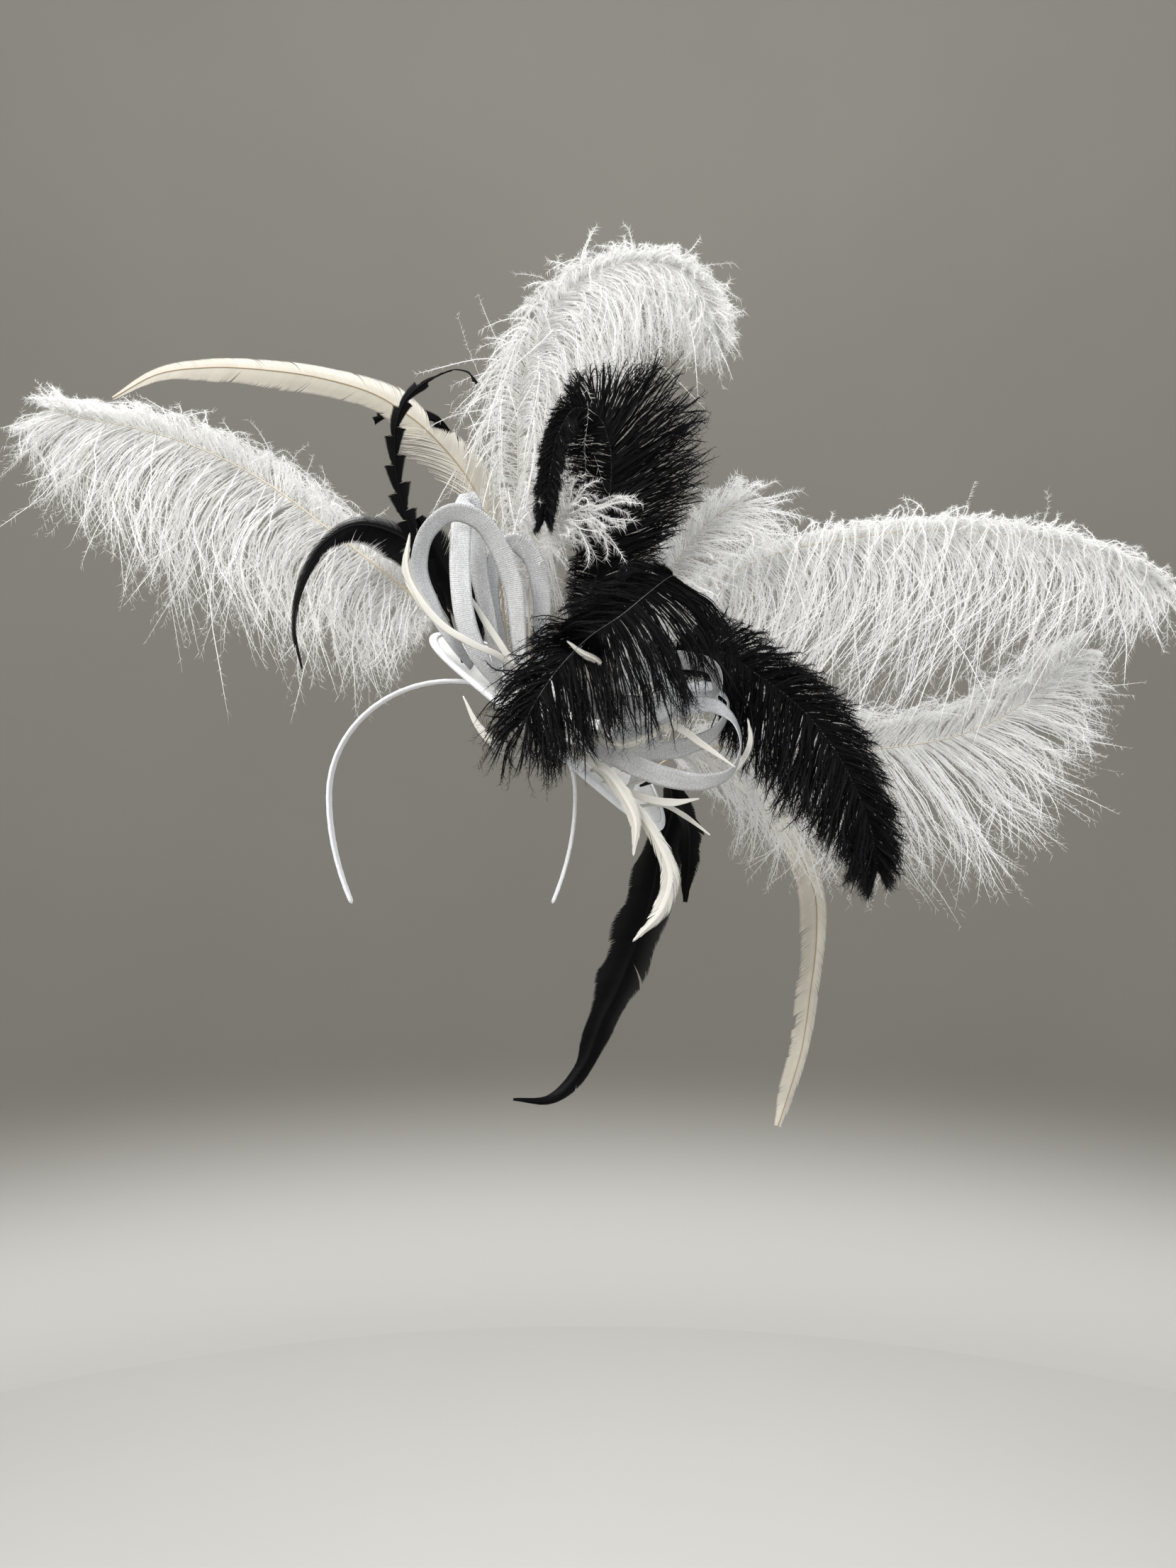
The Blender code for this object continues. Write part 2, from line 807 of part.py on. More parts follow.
def make_notched(name, material, spec):
    """A strip whose width grows along each tooth and steps back at its end, first on one side and
    then on the other."""
    line = smooth_rows(feather_rows(spec), spec["teeth"] * TOOTH_SECTIONS + 1)
    path = line[:, :3]
    across = width_directions(path, line[:, 5])
    sides = []
    for column, shift in ((3, 1), (4, 0)):
        place = (np.arange(len(line)) + shift) % TOOTH_SECTIONS
        grow = np.where(place == 0, 0.0, TOOTH_SHOULDER + (1 - TOOTH_SHOULDER) * (place - 1))
        sides.append(line[:, column] * (NOTCH_SHARE + (1 - NOTCH_SHARE) * grow))
    left, right = sides
    vertices = np.stack([path + across * left[:, None], path - across * right[:, None]], axis=1)
    faces = strip_faces(len(line))
    return add_piece(name, material, vertices.reshape(-1, 3), faces, FEATHER_THICKNESS)


def lock_paths(roots, reach, side, tangent, barbs, sweep):
    """Places along each lock: straight out, bent back and falling with the square of the way, and
    both of these less towards the plume's tip."""
    ahead, front, fall, bend, lean_back = barbs
    toward_tip = sweep[:, None] ** 3
    forward = ahead + TIP_SWEEP * toward_tip - lean_back * (1 - sweep[:, None]) ** LEAN_FADE
    out = unit(side + forward * tangent + front * FRONT)
    q = (np.arange(1, LOCK_SECTIONS + 1) / LOCK_SECTIONS)[None, :, None]
    ease = (1 - TIP_EASE * toward_tip)[:, None, :]
    path = out[:, None, :] * (q - ease * bend * q**2) + ease * fall * q**2 * DOWN
    return roots[:, None, :] + reach[:, None, None] * path


def make_plume(name, material, spec):
    """A comb: a quill strip with a tapering lock of barbs out of each side of every cell."""
    locks = spec.get("locks", PLUME_LOCKS)
    foot = seat_point(spec["seat"], spec["shaft"][0][:3], QUILL_WIDTH, PLUME_THICKNESS, FULL_FACE)
    fine = smooth_rows([(*foot, 0.0, 0.0), *spec["shaft"]], FINE_STATIONS)
    bare = np.argmax((fine[:, 3] + fine[:, 4]) > 2 * SHORTEST_LOCK)
    quill_cells = max(2, round(BARE_CELL_SHARE * locks * bare / (FINE_STATIONS - bare)))
    quill = np.linspace(0, bare, quill_cells + 1)[:-1]
    at = np.concatenate([quill, np.linspace(bare, FINE_STATIONS - 1, locks + 1)])
    line = np.stack([np.interp(at, np.arange(FINE_STATIONS), column) for column in fine.T], axis=1)
    path = line[:, :3]
    tangent = unit(np.gradient(path, axis=0))
    left = unit(np.cross(FRONT, tangent))
    half = np.full((len(line), 1), QUILL_WIDTH / 2)
    half[-1] = QUILL_WIDTH / 4
    edges = {1: path + left * half, -1: path - left * half}
    vertices = list(np.stack([edges[1], edges[-1]], axis=1).reshape(-1, 3))
    faces = strip_faces(len(line))
    cells = np.arange(quill_cells, quill_cells + locks)
    sweep = (np.arange(locks) + 0.5) / locks
    stagger = spec["stagger"] * STAGGER_PATTERN[np.arange(locks) % len(STAGGER_PATTERN)]
    for sign, column, barbs in ((1, 3, spec["left"]), (-1, 4, spec["right"])):
        edge = edges[sign]
        roots = (edge[cells] + edge[cells + 1]) / 2
        halves = (edge[cells + 1] - edge[cells]) / 2
        reach = (line[cells, column] + line[cells + 1, column]) / 2
        side = sign * unit(left[cells] + left[cells + 1])
        ways = lock_paths(roots, reach, side, unit(tangent[cells] + tangent[cells + 1]), barbs, sweep)
        for i in range(locks):
            if reach[i] < SHORTEST_LOCK:
                continue
            near = (2 * cells[i], 2 * cells[i] + 2) if sign > 0 else (2 * cells[i] + 1, 2 * cells[i] + 3)
            for k in range(LOCK_SECTIONS):
                q = (k + 1) / LOCK_SECTIONS
                middle = ways[i, k] + FRONT * stagger[i] * q
                spread = halves[i] * (1 - LOCK_TAPER * q)
                first = len(vertices)
                vertices += [middle - spread, middle + spread]
                quad = (near[0], near[1], first + 1, first)
                faces.append(quad if sign > 0 else quad[::-1])
                near = (first, first + 1)
    return add_piece(name, material, np.array(vertices), faces, PLUME_THICKNESS)


def with_seats(spec, root_width, thickness):
    """The rows of a loop or quill, with its seat or seats added, as left and right half widths."""
    first, last = spec["rows"][0], spec["rows"][-1]
    foot = seat_point(spec["seat"], first[:3], root_width, thickness, first[4])
    rows = [(*foot, root_width, first[4]), *spec["rows"]]
    if "end_seat" in spec:
        # Looked at from its end, a strip turns the other way.
        foot = seat_point(spec["end_seat"], last[:3], root_width, thickness, -last[4])
        rows.append((*foot, root_width, last[4]))
    return [(x, y, z, width / 2, width / 2, turn) for x, y, z, width, turn in rows]


def make_material(name):
    """One plain material for a family of pieces."""
    color, roughness, metallic = MATERIALS[name]
    material = bpy.data.materials.new(name)
    material.use_nodes = True
    shader = material.node_tree.nodes["Principled BSDF"]
    shader.inputs["Base Color"].default_value = (*color, 1.0)
    shader.inputs["Roughness"].default_value = roughness
    shader.inputs["Metallic"].default_value = metallic
    material.diffuse_color = (*color, 1.0)
    return material


def build():
    """Every piece of the fascinator, in one collection."""
    for old in list(bpy.data.objects):
        bpy.data.objects.remove(old, do_unlink=True)
    collection = bpy.data.collections.new(COLLECTION)
    bpy.context.scene.collection.children.link(collection)
    materials = {name: make_material(name) for name in MATERIALS}
    make_headband(materials["satin"])
    make_base(materials["straw_cloth"])
    make_binding(materials["satin"])
    for name, spec in PLUMES.items():
        make_plume(name, materials[spec["material"]], spec)
    for name, spec in FEATHERS.items():
        rows = feather_rows(spec)
        make_strip(name, materials[spec["material"]], rows, FEATHER_THICKNESS, FEATHER_STATIONS)
    for name, spec in NOTCHED.items():
        make_notched(name, materials[spec["material"]], spec)
    for name, spec in LOOPS.items():
        rows = with_seats(spec, RIBBON_ROOT_WIDTH, RIBBON_THICKNESS)
        make_strip(name, materials["ribbon"], rows, RIBBON_THICKNESS, RIBBON_STATIONS)
    for name, spec in BIOTS.items():
        rows = with_seats(spec, BIOT_ROOT_WIDTH, BIOT_THICKNESS)
        make_strip(name, materials["ivory_quill"], rows, BIOT_THICKNESS, BIOT_STATIONS)


build()
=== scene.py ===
"""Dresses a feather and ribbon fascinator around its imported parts.

Every plume gets its shaft, its curled barbs and their fine barbules, every feather a vane of separate
barbs, and the ribbons, satin, straw cloth and quills their real surfaces. Tables and formulas are in
millimetres, and each mesh is written in metres in the part's own frame.
"""

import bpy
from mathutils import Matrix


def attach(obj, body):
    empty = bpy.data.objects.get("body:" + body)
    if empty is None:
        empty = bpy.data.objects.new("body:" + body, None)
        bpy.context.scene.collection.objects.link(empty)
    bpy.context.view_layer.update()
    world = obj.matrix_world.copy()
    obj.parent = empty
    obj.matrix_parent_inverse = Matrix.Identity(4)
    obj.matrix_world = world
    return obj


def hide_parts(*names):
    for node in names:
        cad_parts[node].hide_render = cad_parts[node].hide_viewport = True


bl_info = {
    "name": "Feather Fascinator",
    "version": (1, 0, 0),
    "blender": (4, 5, 0),
    "location": "3D View > Sidebar > Fascinator",
    "description": "Plumes, feathers, ribbon loops, quills, base and headband of a fascinator",
    "category": "Add Mesh",
}

import math

import bpy
import numpy as np
from mathutils import Vector

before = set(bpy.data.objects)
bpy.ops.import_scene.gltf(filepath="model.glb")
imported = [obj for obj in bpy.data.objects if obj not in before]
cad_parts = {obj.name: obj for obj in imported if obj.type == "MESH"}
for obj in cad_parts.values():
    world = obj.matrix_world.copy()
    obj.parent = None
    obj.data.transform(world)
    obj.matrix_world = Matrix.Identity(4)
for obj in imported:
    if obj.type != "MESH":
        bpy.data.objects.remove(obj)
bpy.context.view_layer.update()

MM = 0.001

BAND_HALF_WIDTH = 72.7
BAND_WIDEST_BELOW = 68.0
BAND_END_BELOW = 131.0
BAND_END_INSET = 13.5
BAND_DEPTH = 10.0
BAND_END_DEPTH = 6.0
BAND_END_RUN = 42.0
BAND_THICKNESS = 2.3
BAND_STATIONS = 420
BAND_SIDES = 32
WRAP_PITCH = 9.0
WRAP_PROUD = 0.16
WRAP_SLANT = 0.28
BAND_END_ROUND = 3.0

BASE_CENTER = np.array([62.5, 0.0, -22.0])
BASE_SLOPE = math.radians(40.0)
BASE_TILT = math.radians(18.0)
BASE_HALF_LENGTH = 88.0
BASE_HALF_WIDTH = 57.0
BASE_BEND_RADIUS = 350.0
BASE_THICKNESS = 1.2
BASE_DENT = 0.22
BASE_DENT_RUNS = (13.0, 11.0)
BASE_RINGS = 34
BASE_SIDES = 128
BINDING_WIDTH = 4.5
BINDING_THICKNESS = 3.6
BINDING_GRIP = 3.0
BINDING_STATIONS = 360
FIT_GAP = 0.3
PUCKER_PITCH = 2.4
PUCKER_INSET = 3.4
PUCKER_DEPTH = 0.1

SEAT_GAP = 0.35
FINE_STATIONS = 400
SHAFT_TAPER = 0.8
FULL_FACE = 90.0
QUILL_WIDTH = 2.4
PLUME_THICKNESS = 1.2
SHORTEST_LOCK = 5.0
TIP_SWEEP = 1.3
TIP_EASE = 0.75
LEAN_FADE = 4
# The most that one chance may depart from the mean, in spreads.
CALM = 2.0
# The least and most share of its group's bend and fall that a barb may have.
BEND_RANGE = (0.7, 1.25)
FEATHER_THICKNESS = 1.0
FEATHER_ROOT_WIDTH = 2.0
NOTCH_SHARE = 0.4
TOOTH_OVER = 1.15
WISP_WIDTH = 0.6
WISP_POINTS = 10
# How barbs open out from their roots: the power of the way along them.
OPENING = 1.5
SHORTEST_BARB = 2.0
MEAN_REACH = 0.94
REACH_RANGE = (0.45, 1.12)
DEPTH_RANGE = (-1.8, 1.1)
HOOK_STRAY = 0.6
HOOK_FALL = 0.5
CURL_SPREAD = 0.6
# How much narrower a barb is at its tip, all along and then over its last run.
BARB_TAPER = 0.35
BARB_TIP_TAPER = 0.55
BARB_TIP_RUN = 0.1
VANE_TIP_TAPER = 0.85
VANE_TIP_RUN = 0.14
VANE_EDGE_RANGE = (0.6, 1.06)
VANE_OWN_RAGGED = 0.3
VANE_TILT = 0.16
VANE_RISE = 0.15
# The share of a barb's shade that it has in common with its neighbours.
SHARED_SHADE = 0.6
FUZZ_FROM = 0.03
FUZZ_TURN = 0.8
FUZZ_LEAN = (0.55, 1.1)
FUZZ_SAG = 0.12
# Stations and sides of the shafts.
PLUME_SHAFT = (90, 8)
FEATHER_SHAFT = (60, 6)
FEATHER_SHAFT_PROUD = 0.25
SHAFT_END = 0.6
RIBBON_THICKNESS = 1.0
RIBBON_ROOT_WIDTH = 4.0
RIBBON_MAP_HALF = 5.75
RIBBON_CROWN = 0.25
RIBBON_RIPPLE = 0.12
RIBBON_RIPPLE_RUN = 7.0
RIBBON_STATIONS = 96
RIBBON_COLUMNS = 7
BIOT_THICKNESS = 1.0
BIOT_ROOT_WIDTH = 2.0
BIOT_SIDES = 12
BIOT_STATIONS = 60
BIOT_GROOVE = 0.45
BIOT_GROOVE_WIDTH = 0.22
FRINGE_NARROWER = 0.65
FRINGE_RUN = 0.2

FRONT = np.array([0.0, -1.0, 0.0])
DOWN = np.array([0.0, 0.0, -1.0])
BASE_ALONG = np.array([math.cos(BASE_SLOPE), 0.0, -math.sin(BASE_SLOPE)])
BASE_UP_SLOPE = np.array([math.sin(BASE_SLOPE), 0.0, math.cos(BASE_SLOPE)])
BASE_ACROSS = math.cos(BASE_TILT) * -FRONT + math.sin(BASE_TILT) * BASE_UP_SLOPE
BASE_NORMAL = np.cross(BASE_ALONG, BASE_ACROSS)
# Where a row holds the width to the left and to the right of travel.
SIDE_COLUMN = {1: 3, -1: 4}

# The camera stands level in front of the object, without shift. Its focal length is a share of the
# picture's height.
CAMERA_PLACE = (0.079, -0.783, -0.061)
FOCAL_SHARE = 1900 / 2212
SENSOR_MM = 36.0

# Stage, in metres: profiles are radius and height. Lights: name, place, aim, power, size, colour.
STAGE_CENTER = (0.08, 0.02)
FLOOR_PROFILE = ((0.0, -1.35), (0.8, -1.35), (1.6, -1.35), (2.4, -1.35))
WALL_PROFILE = (
    (2.4, -1.35), (2.5, -1.345), (2.62, -1.31), (2.74, -1.24), (2.83, -1.14), (2.88, -1.02), (2.9, -0.88),
    (2.9, 0.4), (2.9, 2.4),
)
WALL_FADE = (-1.35, -0.75)
LIGHTS = (
    ("key", (-1.1, -1.5, 1.3), (0.05, 0.0, 0.0), 62.0, 1.3, (1.0, 0.98, 0.95)),
    ("fill", (1.6, -1.2, 0.5), (0.1, 0.0, 0.0), 20.0, 1.6, (0.95, 0.97, 1.0)),
    ("back", (0.5, 1.5, 1.5), (0.1, 0.0, 0.0), 24.0, 1.4, (1.0, 1.0, 1.0)),
    ("wall", (0.1, 0.9, 2.2), (0.1, 2.7, 0.0), 27.0, 1.5, (1.0, 0.98, 0.95)),
)

# Plumes. Each seat is the quill's place on the base, along its slope and across it.
# Shaft rows: x, y, z, and how far the barbs reach to the left and right of the shaft's travel.
# Left and right: how far the barbs there sweep ahead, stand to the front, fall at their tips and bend
# back, and how far the first ones lean back towards the quill.
PLUMES = {
    "plume_left_white": {
        "seat": (-72, 6), "left": (0.45, 0.15, 0.7, 0.75, 0), "right": (0.6, -0.8, 0.4, 0.15, 0),
        "shaft": (
            (-12, 8, 38, 0, 0), (-28, 10, 53, 62, 50), (-77, 20, 92, 80, 62), (-114, 28, 120, 92, 62),
            (-161, 38, 145, 92, 60), (-203, 46, 159, 76, 52), (-235, 51, 166, 50, 40),
            (-256, 54, 172, 27, 22),
    )},
    "plume_top_white": {
        "seat": (-28, 14), "left": (0.5, -0.4, 0.3, 0.15, 0), "right": (0.8, 0.35, 0.75, 0.35, 0),
        "shaft": (
            (44, 12, 42, 0, 0), (40, 8, 83, 40, 34), (38, 6, 133, 48, 44), (40, 4, 172, 44, 60),
            (52, 2, 204, 38, 66), (70, 0, 228, 34, 66), (92, 0, 240, 34, 60), (114, 2, 244, 34, 56),
            (136, 4, 238, 30, 50), (150, 6, 222, 26, 40), (156, 8, 204, 18, 24),
    )},
    "plume_right_white": {
        "seat": (24, 24), "left": (0.6, -0.8, 0.4, 0.15, 0), "right": (0.8, 0.15, 1.05, 1.1, 0),
        "shaft": (
            (95, 25, -8, 0, 0), (126, 28, 40, 30, 50), (161, 32, 64, 34, 72), (196, 36, 80, 36, 82),
            (239, 40, 89, 40, 86), (284, 44, 95, 40, 86), (329, 48, 94, 38, 80), (374, 52, 88, 34, 68),
            (410, 54, 77, 24, 50), (436, 56, 62, 14, 22),
    )},
    "plume_lower_white": {
        "seat": (60, 24), "left": (0.8, -0.25, 0.15, 0.15, 0), "right": (0.7, 0.15, 0.35, 0.2, 0),
        "shaft": (
            (128, 34, -46, 0, 0), (145, 42, -40, 34, 50), (199, 60, -40, 46, 76), (270, 78, -38, 56, 84),
            (326, 90, -27, 60, 76), (365, 98, -7, 48, 56), (388, 102, 14, 28, 30), (404, 105, 28, 12, 12),
    )},
    "tuft_center_white": {
        "seat": (-22, -6), "left": (0.7, 0.3, 0.3, 0.2, 0), "right": (0.9, 0.35, 0.2, 0.2, 0),
        "shaft": (
            (46, -3, 20, 0, 0), (45, -6, 52, 0, 0), (47, -14, 70, 26, 22), (57, -26, 85, 26, 24),
            (72, -33, 91, 24, 24), (84, -35, 90, 18, 20),
    )},
    "tuft_right_white": {
        "seat": (14, 14), "left": (0.8, 0.3, 0.2, 0.25, 0), "right": (0.5, 0.3, 0.35, 0.15, 0),
        "shaft": (
            (88, 14, 8, 0, 0), (110, 14, 42, 22, 26), (132, 16, 72, 30, 36), (152, 20, 96, 30, 44),
            (172, 24, 108, 22, 36),
    )},
    "plume_upper_black": {
        "seat": (2, -4), "left": (0.2, -0.2, 0.15, 0.1, 0), "right": (0.7, -0.3, 0.05, 0.05, 0),
        "shaft": (
            (71, -7, 12, 0, 0), (81, -13, 45, 18, 30), (89, -20, 84, 20, 62), (92, -24, 108, 30, 68),
            (91, -28, 130, 30, 62), (84, -32, 145, 18, 30), (73, -36, 148, 10, 11), (64, -40, 136, 10, 10),
            (58, -43, 110, 10, 12), (55, -44, 84, 8, 8),
    )},
    "plume_center_black": {
        "seat": (14, -6), "left": (0.2, 0.1, 0.45, 0.3, 1.4), "right": (0.8, -0.5, 0.25, 0.2, 0),
        "shaft": (
            (90, -12, 2, 0, 0), (108, -26, 28, 0, 0), (124, -44, 46, 0, 0), (125, -58, 51, 0, 0),
            (122, -65, 49, 54, 34), (110, -74, 39, 56, 42), (96, -80, 27, 54, 46), (79, -82, 15, 48, 46),
            (65, -81, 1, 42, 44), (54, -80, -14, 36, 38), (46, -80, -28, 26, 28),
    )},
    "plume_right_black": {
        "seat": (48, 2), "left": (0.8, -0.2, 0.1, 0.2, 0), "right": (0.5, 0.1, 0.1, 0.1, 0),
        "shaft": (
            (108, 4, -28, 0, 0), (124, 0, 2, 10, 0), (148, -6, 16, 34, 44), (180, -12, -1, 38, 56),
            (208, -16, -26, 36, 54), (228, -18, -57, 32, 42), (240, -18, -88, 26, 30),
            (244, -16, -110, 14, 16),
    )},
}

# Smooth feathers. Rows: x, y, z, the vane's width to the left and right of travel, and its turn in
# degrees, where 90 shows the full face to the front.
FEATHERS = {
    "feather_sickle_black": {"seat": (-62, -8), "rows": (
        (2, -13, 42, 3, 3, 90), (-14, -16, 69, 13, 11, 90), (-32, -18, 82, 12, 10, 85),
        (-53, -22, 85, 8, 8, 80), (-70, -26, 74, 5, 6, 75), (-81, -30, 52, 3, 4, 70),
        (-85, -32, 28, 1.5, 3, 65), (-80, -34, 3, 0.6, 0.6, 65),
    )},
    "feather_body_black": {"seat": (-56, -20), "rows": (
        (16, -22, 24, 5, 5, 90), (8, -22, 42, 10, 9, 90), (0, -22, 58, 14, 13, 90),
        (-8, -22, 74, 13, 13, 90), (-17, -21, 90, 3, 3, 90),
    )},
    "feather_drop_black": {"seat": (62, 10), "rows": (
        (126, 28, -58, 4, 4, 60), (131, 44, -74, 9, 9, 70), (124, 56, -103, 13, 13, 80),
        (117, 66, -139, 15.5, 15.5, 90), (106, 74, -171, 16.5, 16, 90), (98, 77, -192, 14, 14, 90),
        (88, 80, -213, 10, 10, 90), (76, 82, -243, 6, 6, 90), (56, 84, -264, 3.5, 3.5, 90),
        (31, 84, -264, 0.8, 0.8, 90),
    )},
    "feather_drop_black_short": {"seat": (72, 0), "rows": (
        (131, 12, -72, 3, 3, 60), (139, 28, -84, 6, 6, 70), (141, 42, -106, 7, 7, 80),
        (139, 50, -134, 1.5, 1.5, 90),
    )},
    "feather_long_ivory": {"seat": (-38, -3), "rows": (
        (29, -4, 50, 1.2, 1.2, 90), (24, -4, 74, 12, 5, 90), (19, -4, 96, 30, 13, 90),
        (10, -4, 115, 34, 16, 90), (-7, -6, 136, 22, 12, 90), (-14, -7, 143, 17, 2.5, 90),
        (-20, -8, 148, 12, 9, 90), (-27, -9, 153, 10, 11, 90), (-38, -10, 160, 8, 13, 90),
        (-72, -12, 171, 8.5, 11, 85), (-105, -12, 176, 9.5, 10, 85), (-140, -10, 178, 7, 8, 85),
        (-168, -8, 175, 4, 5, 85), (-196, -4, 162, 1, 1, 85),
    )},
    "feather_drop_ivory": {"seat": (44, 40), "rows": (
        (126, 60, -38, 2, 2, 60), (158, 86, -48, 4, 4, 60), (192, 106, -70, 7, 7, 70),
        (216, 116, -101, 9, 9, 80), (231, 120, -134, 9, 9, 90), (232, 120, -167, 8, 9, 90),
        (228, 120, -201, 7, 8, 90), (222, 120, -240, 6, 7, 90), (213, 120, -270, 5, 6, 90),
        (206, 118, -290, 2.5, 2.5, 90),
    )},
}

# Notched feathers: the same rows, with the vane cut into teeth along its whole length.
NOTCHED = {
    "feather_notched_a": {"seat": (-60, -30), "teeth": 13, "rows": (
        (2, -28, 30, 1, 1, 90), (-13, -28, 64, 6, 6, 90), (-22, -29, 86, 6.8, 6.8, 90),
        (-27, -30, 105, 6.8, 6.8, 90), (-29, -31, 124, 6, 6, 90), (-28, -32, 140, 5.5, 5.5, 90),
        (-22, -32, 154, 4.5, 4.5, 90), (-13, -32, 162, 3.5, 3.5, 90), (-6, -32, 166, 0.8, 0.8, 90),
        (5, -32, 170, 0.7, 0.7, 90), (13, -32, 168, 0.7, 0.7, 90), (17, -32, 162, 2, 2, 90),
    )},
    "feather_notched_b": {"seat": (-44, 12), "teeth": 8, "rows": (
        (25, 26, 50, 1, 1, 90), (17, 42, 104, 1, 1, 90), (4, 44, 145, 1, 1, 90), (-5, 30, 152, 2, 2, 90),
        (-12, 25, 157, 4, 4, 90), (-21, 24, 160, 4, 4, 90), (-32, 22, 161, 1, 1, 90),
        (-41, 21, 159, 2.5, 2.5, 90), (-49, 20, 156, 4.5, 4.5, 90),
    )},
}

# Ribbon loops from one seat to the other. Rows: x, y, z, width and turn in degrees.
LOOPS = {
    "ribbon_loop_1": {"seat": (-34, -36), "end_seat": (-38, -22), "rows": (
        (20, -40, 8, 10, 80), (12, -43, 28, 11.5, 80), (9, -44, 50, 11.5, 85), (9, -43, 74, 11.5, 85),
        (11, -40, 92, 11.5, 85), (13, -34, 97, 11.5, 85), (15, -29, 90, 11.5, 80), (17, -27, 62, 11, 80),
        (24, -25, 28, 8, 75),
    )},
    "ribbon_loop_2": {"seat": (-54, -31), "end_seat": (-22, -26), "rows": (
        (6, -38, 16, 8, 50), (-6, -44, 36, 11, 50), (-13, -49, 58, 11.5, 45), (-7, -53, 77, 11.5, 40),
        (6, -54, 86, 11.5, 45), (19, -50, 83, 11.5, 60), (30, -42, 69, 11.5, 70), (37, -34, 50, 11.5, 75),
        (40, -27, 22, 9, 75),
    )},
    "ribbon_loop_3": {"seat": (-34, -12), "end_seat": (-14, -16), "rows": (
        (29, -16, 24, 8, 50), (24, -19, 50, 11, 50), (28, -23, 68, 11.5, 50), (37, -26, 75, 11.5, 60),
        (46, -24, 69, 11.5, 70), (52, -19, 50, 11.5, 75), (52, -15, 22, 9, 75),
    )},
    "ribbon_loop_4": {"seat": (24, -44), "end_seat": (40, -26), "rows": (
        (78, -53, -38, 8, 70), (90, -58, -44, 11.5, 75), (106, -60, -52, 11.5, 75),
        (124, -60, -58, 11.5, 70), (142, -58, -60, 11.5, 50), (156, -54, -55, 11.5, 20),
        (162, -50, -42, 11.5, 10), (159, -46, -27, 11.5, 20), (148, -43, -18, 11.5, 50),
        (130, -40, -19, 11.5, 60), (108, -36, -30, 9, 60),
    )},
    "ribbon_loop_5": {"seat": (30, -18), "end_seat": (58, -12), "rows": (
        (94, -22, -42, 8, 60), (110, -25, -43, 11.5, 65), (134, -25, -40, 11.5, 60),
        (152, -25, -30, 11.5, 30), (158, -24, -16, 11.5, 10), (148, -20, -6, 11.5, 30),
        (130, -18, -11, 11.5, 60), (118, -15, -30, 9, 60),
    )},
    "ribbon_loop_6": {"seat": (2, -26), "end_seat": (12, -16), "rows": (
        (66, -44, -16, 12, 70), (84, -54, -18, 16, 80), (104, -55, -21, 16, 80), (120, -50, -19, 14, 70),
        (128, -44, -9, 11.5, 40), (118, -42, -2, 11.5, 40), (100, -36, -4, 11.5, 50), (84, -26, -18, 9, 60),
    )},
    "ribbon_loop_7": {"seat": (28, -4), "end_seat": (38, -6), "rows": (
        (94, -14, -14, 9, 60), (112, -26, 4, 11.5, 60), (132, -33, 8, 11.5, 60), (149, -36, 2, 11.5, 30),
        (150, -34, -10, 11.5, 20), (136, -31, -14, 11.5, 50), (114, -26, -17, 11, 60),
        (98, -15, -30, 8, 60),
    )},
}

